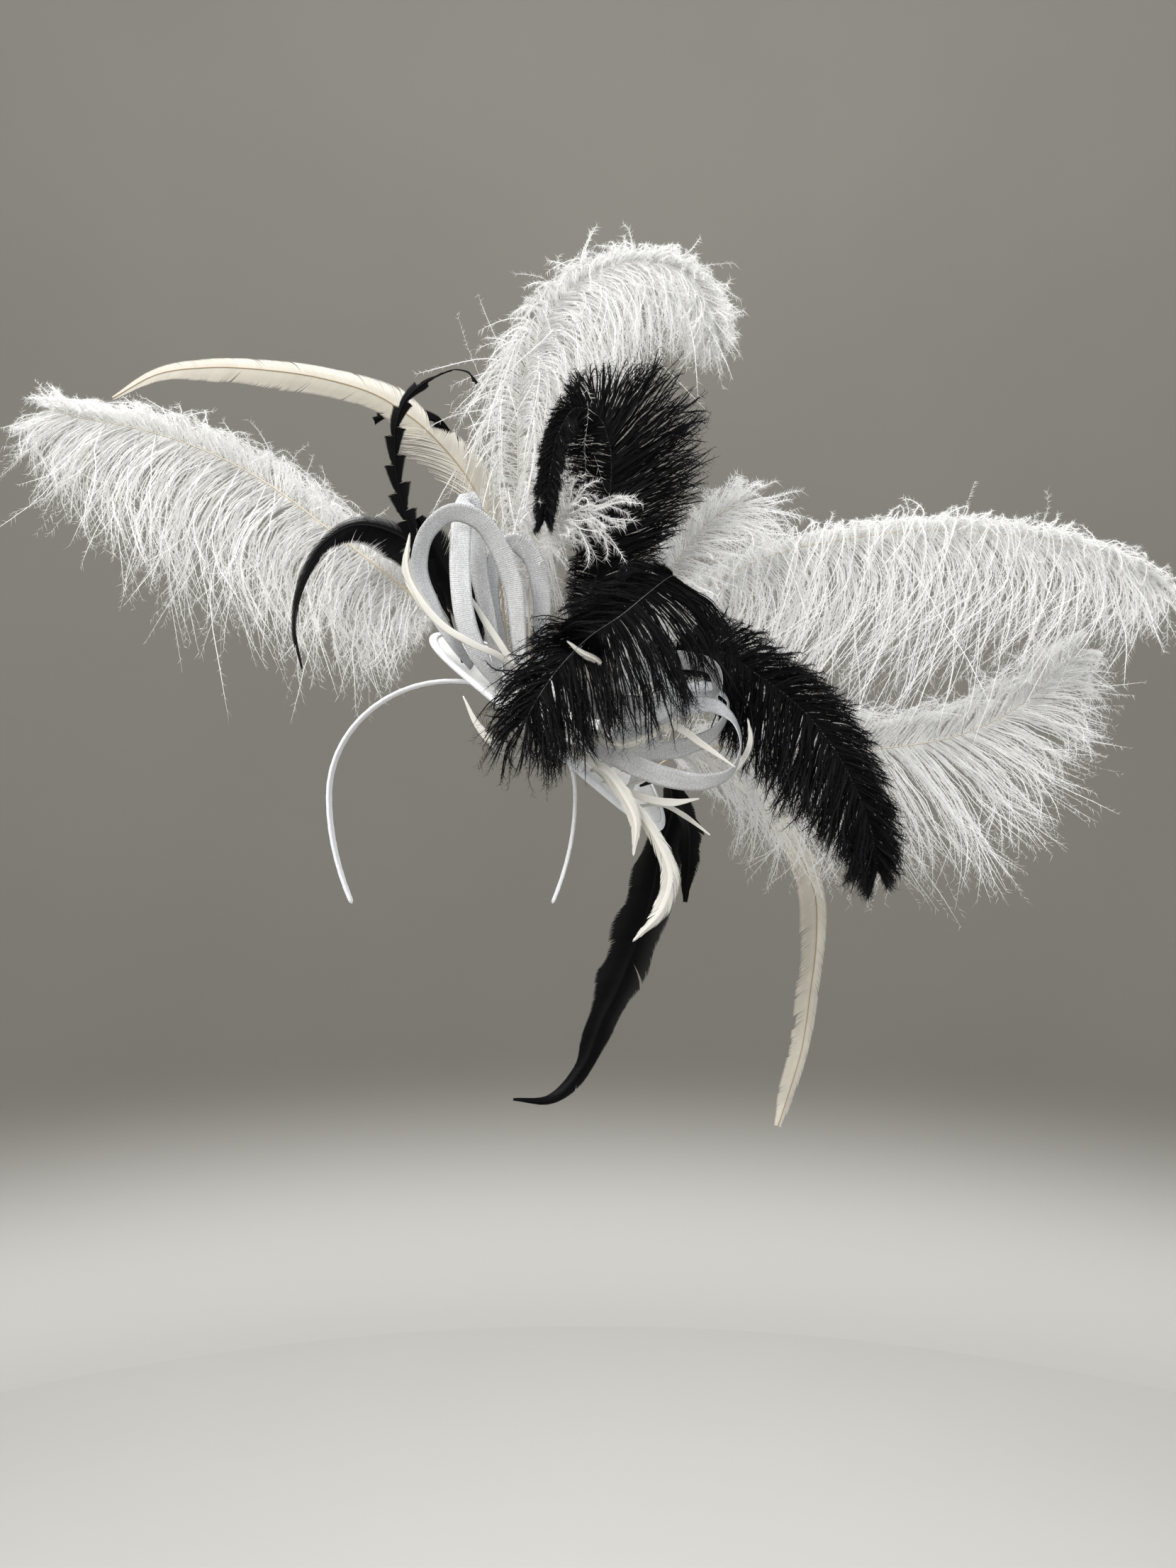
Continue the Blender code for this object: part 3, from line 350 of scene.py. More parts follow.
# Ivory quills. Rows: x, y, z, width and turn in degrees.
BIOTS = {
    "biot_1": {"seat": (22, -34), "rows": (
        (82, -46, -34, 2.5, 80), (88, -62, -31, 3, 80), (91, -69, -16, 4, 80), (90, -70, -3, 4.5, 80),
        (84, -72, 4, 4, 80), (76, -74, 8, 3.5, 80), (68, -76, 14, 0.8, 80),
    )},
    "biot_2": {"seat": (33, -33), "rows": (
        (94, -44, -46, 2.5, 80), (108, -55, -38, 3.5, 80), (124, -63, -30, 4.5, 80),
        (140, -66, -40, 3.5, 80), (157, -68, -52, 0.8, 80),
    )},
    "biot_3": {"seat": (54, -20), "rows": (
        (120, -28, -56, 3, 60), (146, -36, -60, 4, 60), (162, -40, -52, 5, 50), (169, -42, -38, 4.5, 50),
        (167, -41, -25, 0.8, 60),
    )},
    "biot_4": {"seat": (12, -37), "rows": (
        (68, -46, -30, 3, 80), (74, -59, -28, 4, 80), (82, -66, -35, 5, 80), (95, -68, -40, 5, 80),
        (108, -68, -37, 4, 80), (119, -68, -33, 0.8, 80),
    )},
    "biot_5": {"seat": (-8, -44), "rows": (
        (56, -53, -26, 3, 80), (60, -61, -32, 5, 80), (54, -63, -39, 7, 85), (44, -63, -43, 7, 85),
        (32, -62, -41, 6, 85), (21, -61, -31, 4, 85), (12, -60, -14, 0.8, 85),
    )},
    "biot_6": {"seat": (-20, -40), "rows": (
        (42, -44, -8, 3, 80), (34, -50, 6, 3.5, 80), (16, -56, 15, 4, 80), (0, -58, 25, 4, 80),
        (-11, -60, 38, 5, 75), (-18, -60, 54, 5, 70), (-17, -58, 74, 0.8, 70),
    )},
    "biot_7": {"seat": (-12, -34), "rows": (
        (40, -34, 0, 3, 80), (32, -34, 14, 4, 80), (22, -34, 29, 4, 80), (12, -34, 46, 0.8, 80),
    )},
    "biot_8": {"seat": (2, -47), "rows": (
        (57, -54, -33, 2.5, 85), (64, -62, -38, 3.5, 85), (76, -67, -46, 4.5, 85), (88, -69, -54, 5, 85),
        (98, -70, -67, 7, 85), (104, -70, -80, 6, 85), (103, -70, -99, 0.8, 85),
    )},
    "biot_9": {"seat": (34, -42), "rows": (
        (84, -53, -54, 2.5, 85), (91, -60, -61, 3, 85), (104, -63, -73, 4, 85), (116, -64, -91, 7, 85),
        (123, -64, -110, 9, 85), (118, -64, -128, 8, 85), (103, -64, -145, 1, 85),
    )},
    "biot_10": {"seat": (43, -38), "rows": (
        (96, -48, -62, 2.5, 85), (108, -53, -68, 4, 85), (124, -55, -71, 4.5, 85), (139, -54, -69, 0.8, 85),
    )},
    "biot_11": {"seat": (68, -18), "rows": (
        (122, -30, -73, 2.5, 80), (133, -38, -79, 3, 80), (146, -42, -89, 0.8, 80),
    )},
}

# How each plume's barbs look, in millimetres.
# barbs: how many to the left and right. width, shaft: against the usual barb, and the shaft's radius.
# fuzz, fluff: barbules on each barb, and their length. long: share of the rows' reach.
# clump, cling: how many barbs hold together, and how much. gather: how they crowd to the root.
# ragged, stray, uneven: how much they differ in reach, in aim, and in bend and fall.
# wild_left, wild_right: places along the shaft, and how much the straying counts there.
# tip_short: how much shorter the last ones are. depth: how far they spread front to back.
# sway, wave: how far they bow to one side and ripple. curl, hook_from, hook_back: how far the tips
# turn, from where on, and how many turn back. quill: the shaft's finish if it isn't the usual one.
# part: the ends of a quill in x and z that the barbs part round, the width there, and the push.
# mantle: more groups, which fall over the shaft: side, shape as in left and right, number, share of
# the reach, and their own gather.
WHITE_BARBS = {
    "clump": 3, "cling": 0.35, "ragged": 0.13, "stray": 0.1, "depth": 8.0, "sway": 0.06, "curl": 0.16,
    "hook_from": 0.6, "hook_back": 0.5, "uneven": 0.25, "wave": 0.6, "wave_length": 26.0, "shaft": 0.8,
    "width": 0.85, "fuzz": 64,
}
BLACK_BARBS = {
    "clump": 3, "cling": 0.4, "ragged": 0.13, "stray": 0.08, "depth": 5.0, "sway": 0.04, "curl": 0.08,
    "hook_from": 0.6, "hook_back": 0.5, "uneven": 0.2, "wave": 0.5, "wave_length": 24.0, "shaft": 0.4,
    "width": 1.1, "fuzz": 54,
}
PLUME_LOOKS = {
    "plume_left_white": {
        "seed": 11, "barbs": (600, 420), "curl": 0.22,
        "mantle": (
            (-1, (0.9, 0.2, 0.1, 0.2, 0), 160, 0.5), (-1, (0.2, 0.1, 0.4, 0.6, 0), 70, 0.85),
            (1, (-0.5, 0.7, 0.4, 0.5, 0), 80, 1.1, 5.0),
        ),
    },
    "plume_top_white": {
        "seed": 12, "barbs": (300, 620), "stray": 0.14, "curl": 0.5, "hook_from": 0.2, "hook_back": 0.95,
        "uneven": 0.35, "sway": 0.08, "quill": "pale_shaft", "shaft": 0.6, "gather": 0.7, "ragged": 0.09,
        "tip_short": 0.3,
        "wild_left": ((0.0, 0.3, 0.55, 1.0), (2.4, 2.0, 1.0, 0.5)),
        "wild_right": ((0.0, 0.3, 0.6, 1.0), (2.1, 1.5, 0.8, 0.5)),
        "mantle": (
            (1, (0.5, 0.5, 0.5, 0.4, 0), 140, 1.0), (-1, (1.0, 0.5, 0.5, 0.5, 0), 90, 0.6),
            (1, (0.3, 0.8, 0.6, 0.5, 0), 60, 0.9, 2.2), (-1, (0.3, 1.0, 0.7, 0.6, 0), 60, 0.9, 2.2),
        ),
    },
    "plume_right_white": {
        "seed": 13, "barbs": (420, 700), "uneven": 0.3, "sway": 0.08, "curl": 0.42, "hook_from": 0.25,
        "hook_back": 0.93,
        "mantle": ((1, (0.6, 0.5, 1.1, 0.7, 0), 300, 1.5), (1, (0.2, 0.2, 0.4, 0.8, 0), 70, 1.5)),
    },
    "plume_lower_white": {"seed": 14, "barbs": (480, 600), "clump": 6, "cling": 0.6, "curl": 0.25},
    "tuft_center_white": {
        "seed": 15, "barbs": (36, 44), "clump": 2, "stray": 0.28, "ragged": 0.25, "shaft": 0.5,
        "fluff": 3.0, "fuzz": 90, "long": 1.35,
    },
    "tuft_right_white": {
        "seed": 16, "barbs": (150, 170), "fluff": 3.4, "stray": 0.25, "ragged": 0.2, "shaft": 0.7,
    },
    "plume_upper_black": {
        "seed": 17, "barbs": (640, 1050), "uneven": 0.15, "clump": 2, "cling": 0.2, "stray": 0.05,
        "depth": 3.0, "fuzz": 34, "width": 1.2, "shaft": 0.3, "fluff": 2.2,
    },
    "plume_center_black": {
        "seed": 18, "barbs": (560, 440), "stray": 0.13, "ragged": 0.2, "shaft": 0.35, "clump": 5,
        "cling": 0.66, "fluff": 2.4, "quill": "gray_shaft", "part": ((64, 17), (84, 4), 6.0, 16.0),
        "gather": 1.2,
        "wild_left": ((0.0, 0.6, 1.0), (1.0, 1.0, 3.0)), "wild_right": ((0.0, 0.5, 1.0), (1.0, 1.2, 3.5)),
    },
    "plume_right_black": {"seed": 19, "barbs": (600, 680), "stray": 0.12, "width": 1.3},
}

# How each feather's vane looks, in millimetres and degrees.
# spacing, sweep: from barb to barb, and their angle to the shaft. shaft: its radius at root and tip.
# splits, group, push: how many, the run over which one closes, and how far it pushes the tips.
# ragged: how uneven the edge is. camber: how far the vane bows back there. lift: how barbs rise.
# cover: half a barb's width in spacings. points: path points of a barb. lobes: swell and length.
# from, to: the share of the length where the vane starts, left and right, and where it ends.
VANE_LOOK = {
    "spacing": 0.5, "sweep": 42, "group": 5.0, "splits": 0, "ragged": 0.05, "camber": 1.0, "push": 0.12,
    "cover": 0.62, "lift": 1.0, "points": 5, "lobes": (0.0, 1.0), "from": (0.0, 0.0), "to": 1.0,
    "shaft": (0.8, 0.2), "wisps": (),
}
NOTCHED_LOOK = {
    "spacing": 0.4, "sweep": 68, "ragged": 0.03, "camber": 0.3, "shaft": (0.3, 0.25), "points": 4,
}
FEATHER_LOOKS = {
    "feather_sickle_black": {"seed": 21, "group": 9.0, "splits": 3, "camber": 1.2, "shaft": (0.8, 0.25)},
    "feather_body_black": {"seed": 22, "sweep": 45, "group": 8.0, "splits": 1, "shaft": (0.7, 0.2)},
    "feather_drop_black": {
        "seed": 23, "sweep": 40, "group": 6.0, "splits": 2, "ragged": 0.02, "camber": 1.6, "cover": 1.1,
        "lobes": (0.1, 38.0), "push": 0.25,
    },
    "feather_drop_black_short": {
        "seed": 24, "sweep": 34, "splits": 4, "ragged": 0.08, "cover": 1.1, "lobes": (0.14, 24.0),
    },
    "feather_long_ivory": {
        "seed": 25, "sweep": 45, "group": 9.0, "splits": 8, "camber": 1.6, "shaft": (0.6, 0.25),
        "from": (0.43, 0.17),
        "wisps": ((1, {"from": 0.15, "to": 0.44, "count": 64, "reach": 1.15, "ahead": 2.0, "fall": 0.2}),),
    },
    "feather_drop_ivory": {
        "seed": 26, "group": 10.0, "splits": 9, "ragged": 0.08, "camber": 1.4, "shaft": (0.8, 0.3),
    },
    "feather_notched_a": {**NOTCHED_LOOK, "seed": 27},
    "feather_notched_b": {**NOTCHED_LOOK, "seed": 28},
}

# How the quills look: the same, and from what share of the length the edges are feathered, if at all.
QUILL_LOOK = {
    **VANE_LOOK, "fringe": 0.0, "spacing": 0.45, "sweep": 20, "group": 3.0, "splits": 3, "ragged": 0.1,
    "camber": 0.3, "cover": 0.9, "lift": 0.3, "seed": 31,
}
QUILL_LOOKS = {
    "biot_1": {"seed": 36, "fringe": 0.5},
    "biot_3": {"seed": 32, "fringe": 0.45},
    "biot_4": {"seed": 37, "fringe": 0.35},
    "biot_6": {"seed": 34, "fringe": 0.6},
    "biot_8": {"seed": 35, "fringe": 0.35, "splits": 4},
    "biot_9": {"seed": 33, "fringe": 0.3, "splits": 5},
}


def unit(vectors):
    """Each row scaled to length one."""
    return vectors / np.linalg.norm(vectors, axis=-1, keepdims=True)


def circle(count):
    """Angles evenly spaced round a circle."""
    return np.linspace(0.0, 2 * math.pi, count, endpoint=False)


def run_along(path):
    """The way along a path from its start to each of its points."""
    return np.concatenate([[0.0], np.cumsum(np.linalg.norm(np.diff(path, axis=0), axis=1))])


def interpolate(where, at, columns):
    """Every column of a table, read between its rows."""
    return np.stack([np.interp(where, at, column) for column in columns.T], axis=1)


def read_at(columns, at):
    """Columns of a finely spaced curve, read at fractional stations."""
    read = interpolate(np.asarray(at).ravel(), np.arange(len(columns)), columns)
    return read.reshape(*np.shape(at), columns.shape[1])


def base_point(along, across, height):
    """A place on the bent base, at a height above the middle of its thickness."""
    along, across, height = np.broadcast_arrays(along, across, height)
    up = (height - along**2 / (2 * BASE_BEND_RADIUS))[..., None] * BASE_NORMAL
    return BASE_CENTER + along[..., None] * BASE_ALONG + across[..., None] * BASE_ACROSS + up


def seat_point(seat, toward, width, thickness, turn):
    """Where a strip ends on the base: as high as lets its lowest corner just clear the top face."""
    along, across = float(seat[0]), float(seat[1])
    run = np.array([base_point(along, across, BASE_THICKNESS / 2), np.array(toward, dtype=float)])
    wide = width_directions(run, np.array([turn, turn], dtype=float))[0]
    flat = np.cross(unit(run[1] - run[0]), wide)
    corner = width / 2 * abs(wide @ BASE_NORMAL) + thickness / 2 * abs(flat @ BASE_NORMAL)
    return base_point(along, across, BASE_THICKNESS / 2 + SEAT_GAP + corner)


def smooth_rows(rows, count):
    """A smooth curve through the rows, read at places evenly spaced along its length."""
    knots = np.array(rows, dtype=float)
    at = run_along(knots[:, :3])
    slopes = np.gradient(knots, at, axis=0)
    fine = np.linspace(0.0, at[-1], 20 * len(knots))
    i = np.clip(np.searchsorted(at, fine, side="right") - 1, 0, len(at) - 2)
    span = (at[i + 1] - at[i])[:, None]
    t = (fine[:, None] - at[i][:, None]) / span
    curve = (
        (1 + 2 * t) * (1 - t) ** 2 * knots[i]
        + t * (1 - t) ** 2 * span * slopes[i]
        + t**2 * (3 - 2 * t) * knots[i + 1]
        + t**2 * (t - 1) * span * slopes[i + 1]
    )
    curve[:, 3:] = interpolate(fine, at, knots[:, 3:])
    run = run_along(curve[:, :3])
    return interpolate(np.linspace(0.0, run[-1], count), run, curve)


def width_directions(path, turn):
    """Across a strip: along the view at 0 degrees, and across the view at 90 degrees."""
    _, flat, deep = cross_axes(path)
    angle = np.radians(turn)[:, None]
    return np.sin(angle) * flat + np.cos(angle) * unit(deep)


def feather_rows(spec):
    """The rows of a feather, with the foot of its quill added."""
    first = spec["rows"][0]
    foot = seat_point(spec["seat"], first[:3], FEATHER_ROOT_WIDTH, FEATHER_THICKNESS, first[5])
    return [(*foot, FEATHER_ROOT_WIDTH / 2, FEATHER_ROOT_WIDTH / 2, first[5]), *spec["rows"]]


def with_seats(spec, root_width, thickness):
    """The rows of a loop or quill, with its seat or seats added, as left and right half widths."""
    first, last = spec["rows"][0], spec["rows"][-1]
    foot = seat_point(spec["seat"], first[:3], root_width, thickness, first[4])
    rows = [(*foot, root_width, first[4]), *spec["rows"]]
    if "end_seat" in spec:
        # Looked at from its end, a strip turns the other way.
        foot = seat_point(spec["end_seat"], last[:3], root_width, thickness, -last[4])
        rows.append((*foot, root_width, last[4]))
    return [(x, y, z, width / 2, width / 2, turn) for x, y, z, width, turn in rows]


def cross_axes(paths):
    """A path's direction, and two directions square to it: across the view, and along it."""
    tangent = unit(np.gradient(paths, axis=-2))
    flat = unit(np.cross(FRONT, tangent))
    return tangent, flat, np.cross(tangent, flat)


# ---- meshes. A set is vertices in millimetres, arrays of faces, and a place in the map a vertex.


def link_mesh(name, mesh, material):
    """A mesh shaded smooth, given its material and put in the scene."""
    mesh.shade_smooth()
    mesh.materials.append(material)
    piece = bpy.data.objects.new(name, mesh)
    bpy.context.scene.collection.objects.link(piece)
    return piece


def put_piece(node, suffix, slot, material, *sets):
    """The piece that stands for a node, or a part of it, joined from whole sets."""
    points, face_sets, maps = zip(*sets)
    firsts = np.cumsum([0, *map(len, points)])
    faces = [part + first for parts, first in zip(face_sets, firsts) for part in parts]
    vertices = np.concatenate(points).astype(np.float64) * MM
    corners = np.concatenate([part.ravel() for part in faces]).astype(np.int32)
    totals = np.concatenate([np.full(len(part), part.shape[1], dtype=np.int32) for part in faces])
    mesh = bpy.data.meshes.new(node + suffix)
    mesh.vertices.add(len(vertices))
    mesh.vertices.foreach_set("co", vertices.ravel())
    mesh.loops.add(len(corners))
    mesh.loops.foreach_set("vertex_index", corners)
    mesh.polygons.add(len(totals))
    mesh.polygons.foreach_set("loop_start", (np.cumsum(totals) - totals).astype(np.int32))
    mesh.polygons.foreach_set("loop_total", totals)
    layer = mesh.uv_layers.new(name="Strand")
    layer.uv.foreach_set("vector", np.concatenate(maps).astype(np.float32)[corners].ravel())
    mesh.update(calc_edges=True)
    piece = link_mesh(node + suffix, mesh, material)
    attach(piece, "root")
    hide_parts(node)
    return piece


def map_places(first, second):
    """Places in the map from two readings over the same points."""
    return np.stack(np.broadcast_arrays(first, second), axis=-1).reshape(-1, 2)


def grid_faces(rows, columns, closed=False):
    """Quads between neighbouring points of a grid, closed round its columns if asked."""
    index = np.arange(rows * columns).reshape(rows, columns)
    if closed:
        index = np.concatenate([index, index[:, :1]], axis=1)
    return np.stack([index[:-1, :-1], index[:-1, 1:], index[1:, 1:], index[1:, :-1]], axis=-1).reshape(-1, 4)


def cap_faces(ring, center):
    """Triangles from a ring of vertices to one point that closes it."""
    return np.stack([ring, np.roll(ring, -1), np.full(len(ring), center)], axis=1)


def closed_sweep(path, across, up, wide, high, ends=None):
    """A profile carried along a path, with either end closed to a point: vertices and faces."""
    points = path[:, None, :] + across[:, None, :] * wide[..., None] + up[:, None, :] * high[..., None]
    rows, sides = points.shape[:2]
    count = rows * sides
    ends = points[[0, -1]].mean(axis=1) if ends is None else ends
    first, last = np.arange(sides), np.arange(count - sides, count)
    caps = [cap_faces(first, count)[:, ::-1], cap_faces(last, count + 1)]
    return np.concatenate([points.reshape(-1, 3), ends]), [grid_faces(rows, sides, closed=True), *caps]


def shaft(fine, root, tip, stations, sides, proud=0.0):
    """A round shaft that tapers from one radius to another and stands a little proud of its path."""
    path = read_at(fine, np.linspace(0, FINE_STATIONS - 1, stations))[:, :3] + FRONT * proud
    taper = np.linspace(0.0, 1.0, stations)
    radius = root + (tip - root) * taper**SHAFT_TAPER
    tangent, flat, deep = cross_axes(path)
    ends = [path[0] - tangent[0] * radius[0] * SHAFT_END, path[-1] + tangent[-1] * radius[-1] * SHAFT_END]
    turn = circle(sides)
    wide, high = np.cos(turn) * radius[:, None], np.sin(turn) * radius[:, None]
    points, faces = closed_sweep(path, flat, deep, wide, high, np.array(ends))
    return points, faces, map_places(np.append(np.repeat(taper, sides), [0, 1]), 0.5)


def strips(paths, across, half, shade):
    """Thin strips: every path point carries a vertex half a width to either side. In the map, one
    way runs along the strip and the other is its own shade."""
    pair = np.stack([paths + across * half[..., None], paths - across * half[..., None]], axis=2)
    count, points = paths.shape[:2]
    index = np.arange(count * points * 2).reshape(count, points, 2)
    quads = np.stack([index[:, :-1, 0], index[:, :-1, 1], index[:, 1:, 1], index[:, 1:, 0]], axis=-1)
    way = np.broadcast_to(np.linspace(0.0, 1.0, points)[None, :, None], index.shape)
    return pair.reshape(-1, 3), [quads.reshape(-1, 4)], map_places(way, shade[:, None, None])


def fuzz(paths, shade, count, length, width, rng):
    """Barbules: slim triangles that leave a barb at about 45 degrees, to all sides but mostly
    across the view, and grow longer towards its tip."""
    barbs, points = paths.shape[:2]
    q = FUZZ_FROM + (1 - FUZZ_FROM) * (np.arange(count) + rng.random((barbs, count))) / count
    at = np.clip(q * (points - 1), 0, points - 1.001)
    low = at.astype(int)
    part = (at - low)[..., None]
    rows = np.arange(barbs)[:, None]
    tangent, flat, deep = cross_axes(paths)
    base = paths[rows, low] * (1 - part) + paths[rows, low + 1] * part
    along = tangent[rows, low]
    turn = rng.normal(0.0, FUZZ_TURN, (barbs, count)) + math.pi * (rng.random((barbs, count)) < 0.5)
    out = np.cos(turn)[..., None] * flat[rows, low] + np.sin(turn)[..., None] * deep[rows, low]
    lean = rng.uniform(*FUZZ_LEAN, (barbs, count))[..., None]
    way = np.cos(lean) * along + np.sin(lean) * out
    grow = length * (0.55 + 0.75 * rng.random((barbs, count))) * (0.8 + 0.7 * q**3)
    tip = base + way * grow[..., None] + DOWN * (FUZZ_SAG * grow**2 / length)[..., None]
    corner = np.stack([base - along * width / 2, base + along * width / 2, tip], axis=2)
    index = np.arange(barbs * count * 3).reshape(-1, 3)
    tone = np.broadcast_to(shade[:, None, None], (barbs, count, 3))
    return corner.reshape(-1, 3), [index], map_places(q[..., None], tone)


# ---- plumes


def part_round(line, start, end, width, push):
    """Lines pushed back where they pass in front of a quill, fading off to both sides of it."""
    start, end = np.array(start, dtype=float), np.array(end, dtype=float)
    flat_line, run = line[..., ::2] - start, end - start
    way = np.clip((flat_line @ run) / (run @ run), 0, 1)
    away = np.linalg.norm(flat_line - way[..., None] * run, axis=-1)
    return line - FRONT * (push * np.exp(-((away / width) ** 2)))[..., None]


def barb_lines(group, fine, bare, look, points, rng):
    """Centre lines of one group of barbs. A barb leaves its shaft along one direction, bends back
    and falls with the square of the way, strays a little from its neighbours in aim, bend and
    fall, sways to one side, waves, and curls at its tip. Neighbours that cling share part of their
    chances, and their lines close up."""
    sign, (ahead, front, fall, bend, lean_back), count, scale, *gather = group
    gather = gather[0] if gather else look.get("gather", 1.0)
    span = FINE_STATIONS - 1 - bare
    at = bare + span * np.clip((np.arange(count) + rng.uniform(0, 1, count)) / count, 0, 0.999) ** gather
    here = read_at(fine, at)
    tangent = unit(read_at(unit(np.gradient(fine[:, :3], axis=0)), at))
    side = sign * unit(np.cross(FRONT, tangent))
    along = (at - bare) / span
    clump = np.cumsum(rng.random(count) < 1 / look["clump"])
    shared = rng.normal(size=(clump[-1] + 1, 9))[clump]
    chance = look["cling"] * shared + (1 - look["cling"]) * rng.normal(size=(count, 9))
    chance = np.clip(chance, -CALM, CALM)
    reach = here[:, SIDE_COLUMN[sign]] * scale * look.get("long", 1.0)
    wild = np.interp(along, *look.get("wild_left" if sign > 0 else "wild_right", ((0.0, 1.0), (1.0, 1.0))))
    reach = reach * np.clip(MEAN_REACH + look["ragged"] * chance[:, 0], *REACH_RANGE)
    reach = np.maximum(reach * (1 - look.get("tip_short", 0.0) * along**3), SHORTEST_BARB)
    forward = ahead + TIP_SWEEP * along**3 - lean_back * (1 - along) ** LEAN_FADE
    aim = unit(side + forward[:, None] * tangent + front * FRONT)
    out = unit(aim + (look["stray"] * wild)[:, None] * chance[:, 1:4])
    q = np.linspace(0.0, 1.0, points)[None, :, None]
    ease = 1 - TIP_EASE * along**3
    own = np.clip(1 + (wild * look["uneven"])[:, None] * chance[:, 7:], *BEND_RANGE)
    own_bend = (ease * bend * own[:, 0])[:, None, None]
    own_fall = (ease * fall * own[:, 1])[:, None, None]
    root = here[:, :3] + side * look["shaft"] * 0.7
    path = out[:, None, :] * (q - own_bend * q**2) + own_fall * q**2 * DOWN
    line = root[:, None, :] + reach[:, None, None] * path
    depth = look["depth"] * np.clip(chance[:, 4], *DEPTH_RANGE)
    line = line + FRONT * depth[:, None, None] * q**OPENING
    sway = (look["sway"] * reach * chance[:, 6])[:, None, None] * np.sin(math.pi * q * 0.9)
    line = line + sway * tangent[:, None, :]
    middle = np.stack([np.bincount(clump, root[:, k]) for k in range(3)], axis=1)
    middle = (middle / np.maximum(np.bincount(clump), 1)[:, None])[clump]
    line = line + (middle - root)[:, None, :] * look["cling"] * q**OPENING
    _, flat, deep = cross_axes(line)
    phase = chance[:, 5, None] * 3 + reach[:, None] * q[..., 0] * (2 * math.pi / look["wave_length"])
    swing = look["wave"] * np.minimum(q * 3, 1.0)
    line = line + flat * np.sin(phase)[..., None] * swing + deep * np.cos(phase * 0.8 + 1)[..., None] * swing
    # The end turns in a growing hook, ahead along the shaft or back.
    start = look["hook_from"]
    hook = np.clip((q - start) / (1 - start), 0, 1) ** 2
    turn = np.where(rng.random(count) < look["hook_back"], -1.0, 1.0)
    turn_to = unit(tangent * turn[:, None] + HOOK_STRAY * chance[:, 1:4] + HOOK_FALL * DOWN)
    curl = (wild * look["curl"] * reach * (1 + CURL_SPREAD * chance[:, 6]))[:, None, None]
    line = line + curl * hook * turn_to[:, None, :]
    if "part" in look:
        line = part_round(line, *look["part"])
    return line, rng.random(clump[-1] + 1)[clump]


def plume(name, spec, look, slot, sizes, material, shaft_material):
    """One ostrich plume: a round tapered shaft, and barbs with barbules on both sides of it."""
    rng = np.random.default_rng(look["seed"])
    foot = seat_point(spec["seat"], spec["shaft"][0][:3], QUILL_WIDTH, PLUME_THICKNESS, FULL_FACE)
    fine = smooth_rows([(*foot, 0.0, 0.0), *spec["shaft"]], FINE_STATIONS)
    bare = int(np.argmax((fine[:, 3] + fine[:, 4]) > 2 * SHORTEST_LOCK))
    way = np.linspace(0.0, 1.0, sizes.barb_points)
    last = np.clip((way - (1 - BARB_TIP_RUN)) / BARB_TIP_RUN, 0, 1)
    narrow = 1 - BARB_TAPER * way - BARB_TIP_TAPER * last
    half = look["width"] * sizes.barb_width / MM / 2 * narrow
    fluff = look.get("fluff", sizes.barbule_length / MM)
    groups = [(1, spec["left"], look["barbs"][0], 1.0), (-1, spec["right"], look["barbs"][1], 1.0)]
    sets = []
    for group in (*groups, *look.get("mantle", ())):
        line, shade = barb_lines(group, fine, bare, look, sizes.barb_points, rng)
        count = len(line)
        shade = SHARED_SHADE * shade + (1 - SHARED_SHADE) * rng.random(count)
        _, flat, deep = cross_axes(line)
        twist = rng.normal(0.0, 0.7, count)[:, None] + way[None, :] * rng.normal(0.0, 1.0, count)[:, None]
        across = np.cos(twist)[..., None] * flat + np.sin(twist)[..., None] * deep
        sets.append(strips(line, across, np.broadcast_to(half, line.shape[:2]), shade))
        sets.append(fuzz(line, shade, look["fuzz"], fluff, sizes.barbule_width / MM, rng))
    put_piece(name, "_barbs", slot, material, *sets)
    shaft_set = shaft(fine, look["shaft"], 0.2 * look["shaft"], *PLUME_SHAFT)
    put_piece(name, "_shaft", slot, shaft_material, shaft_set)


# ---- feathers


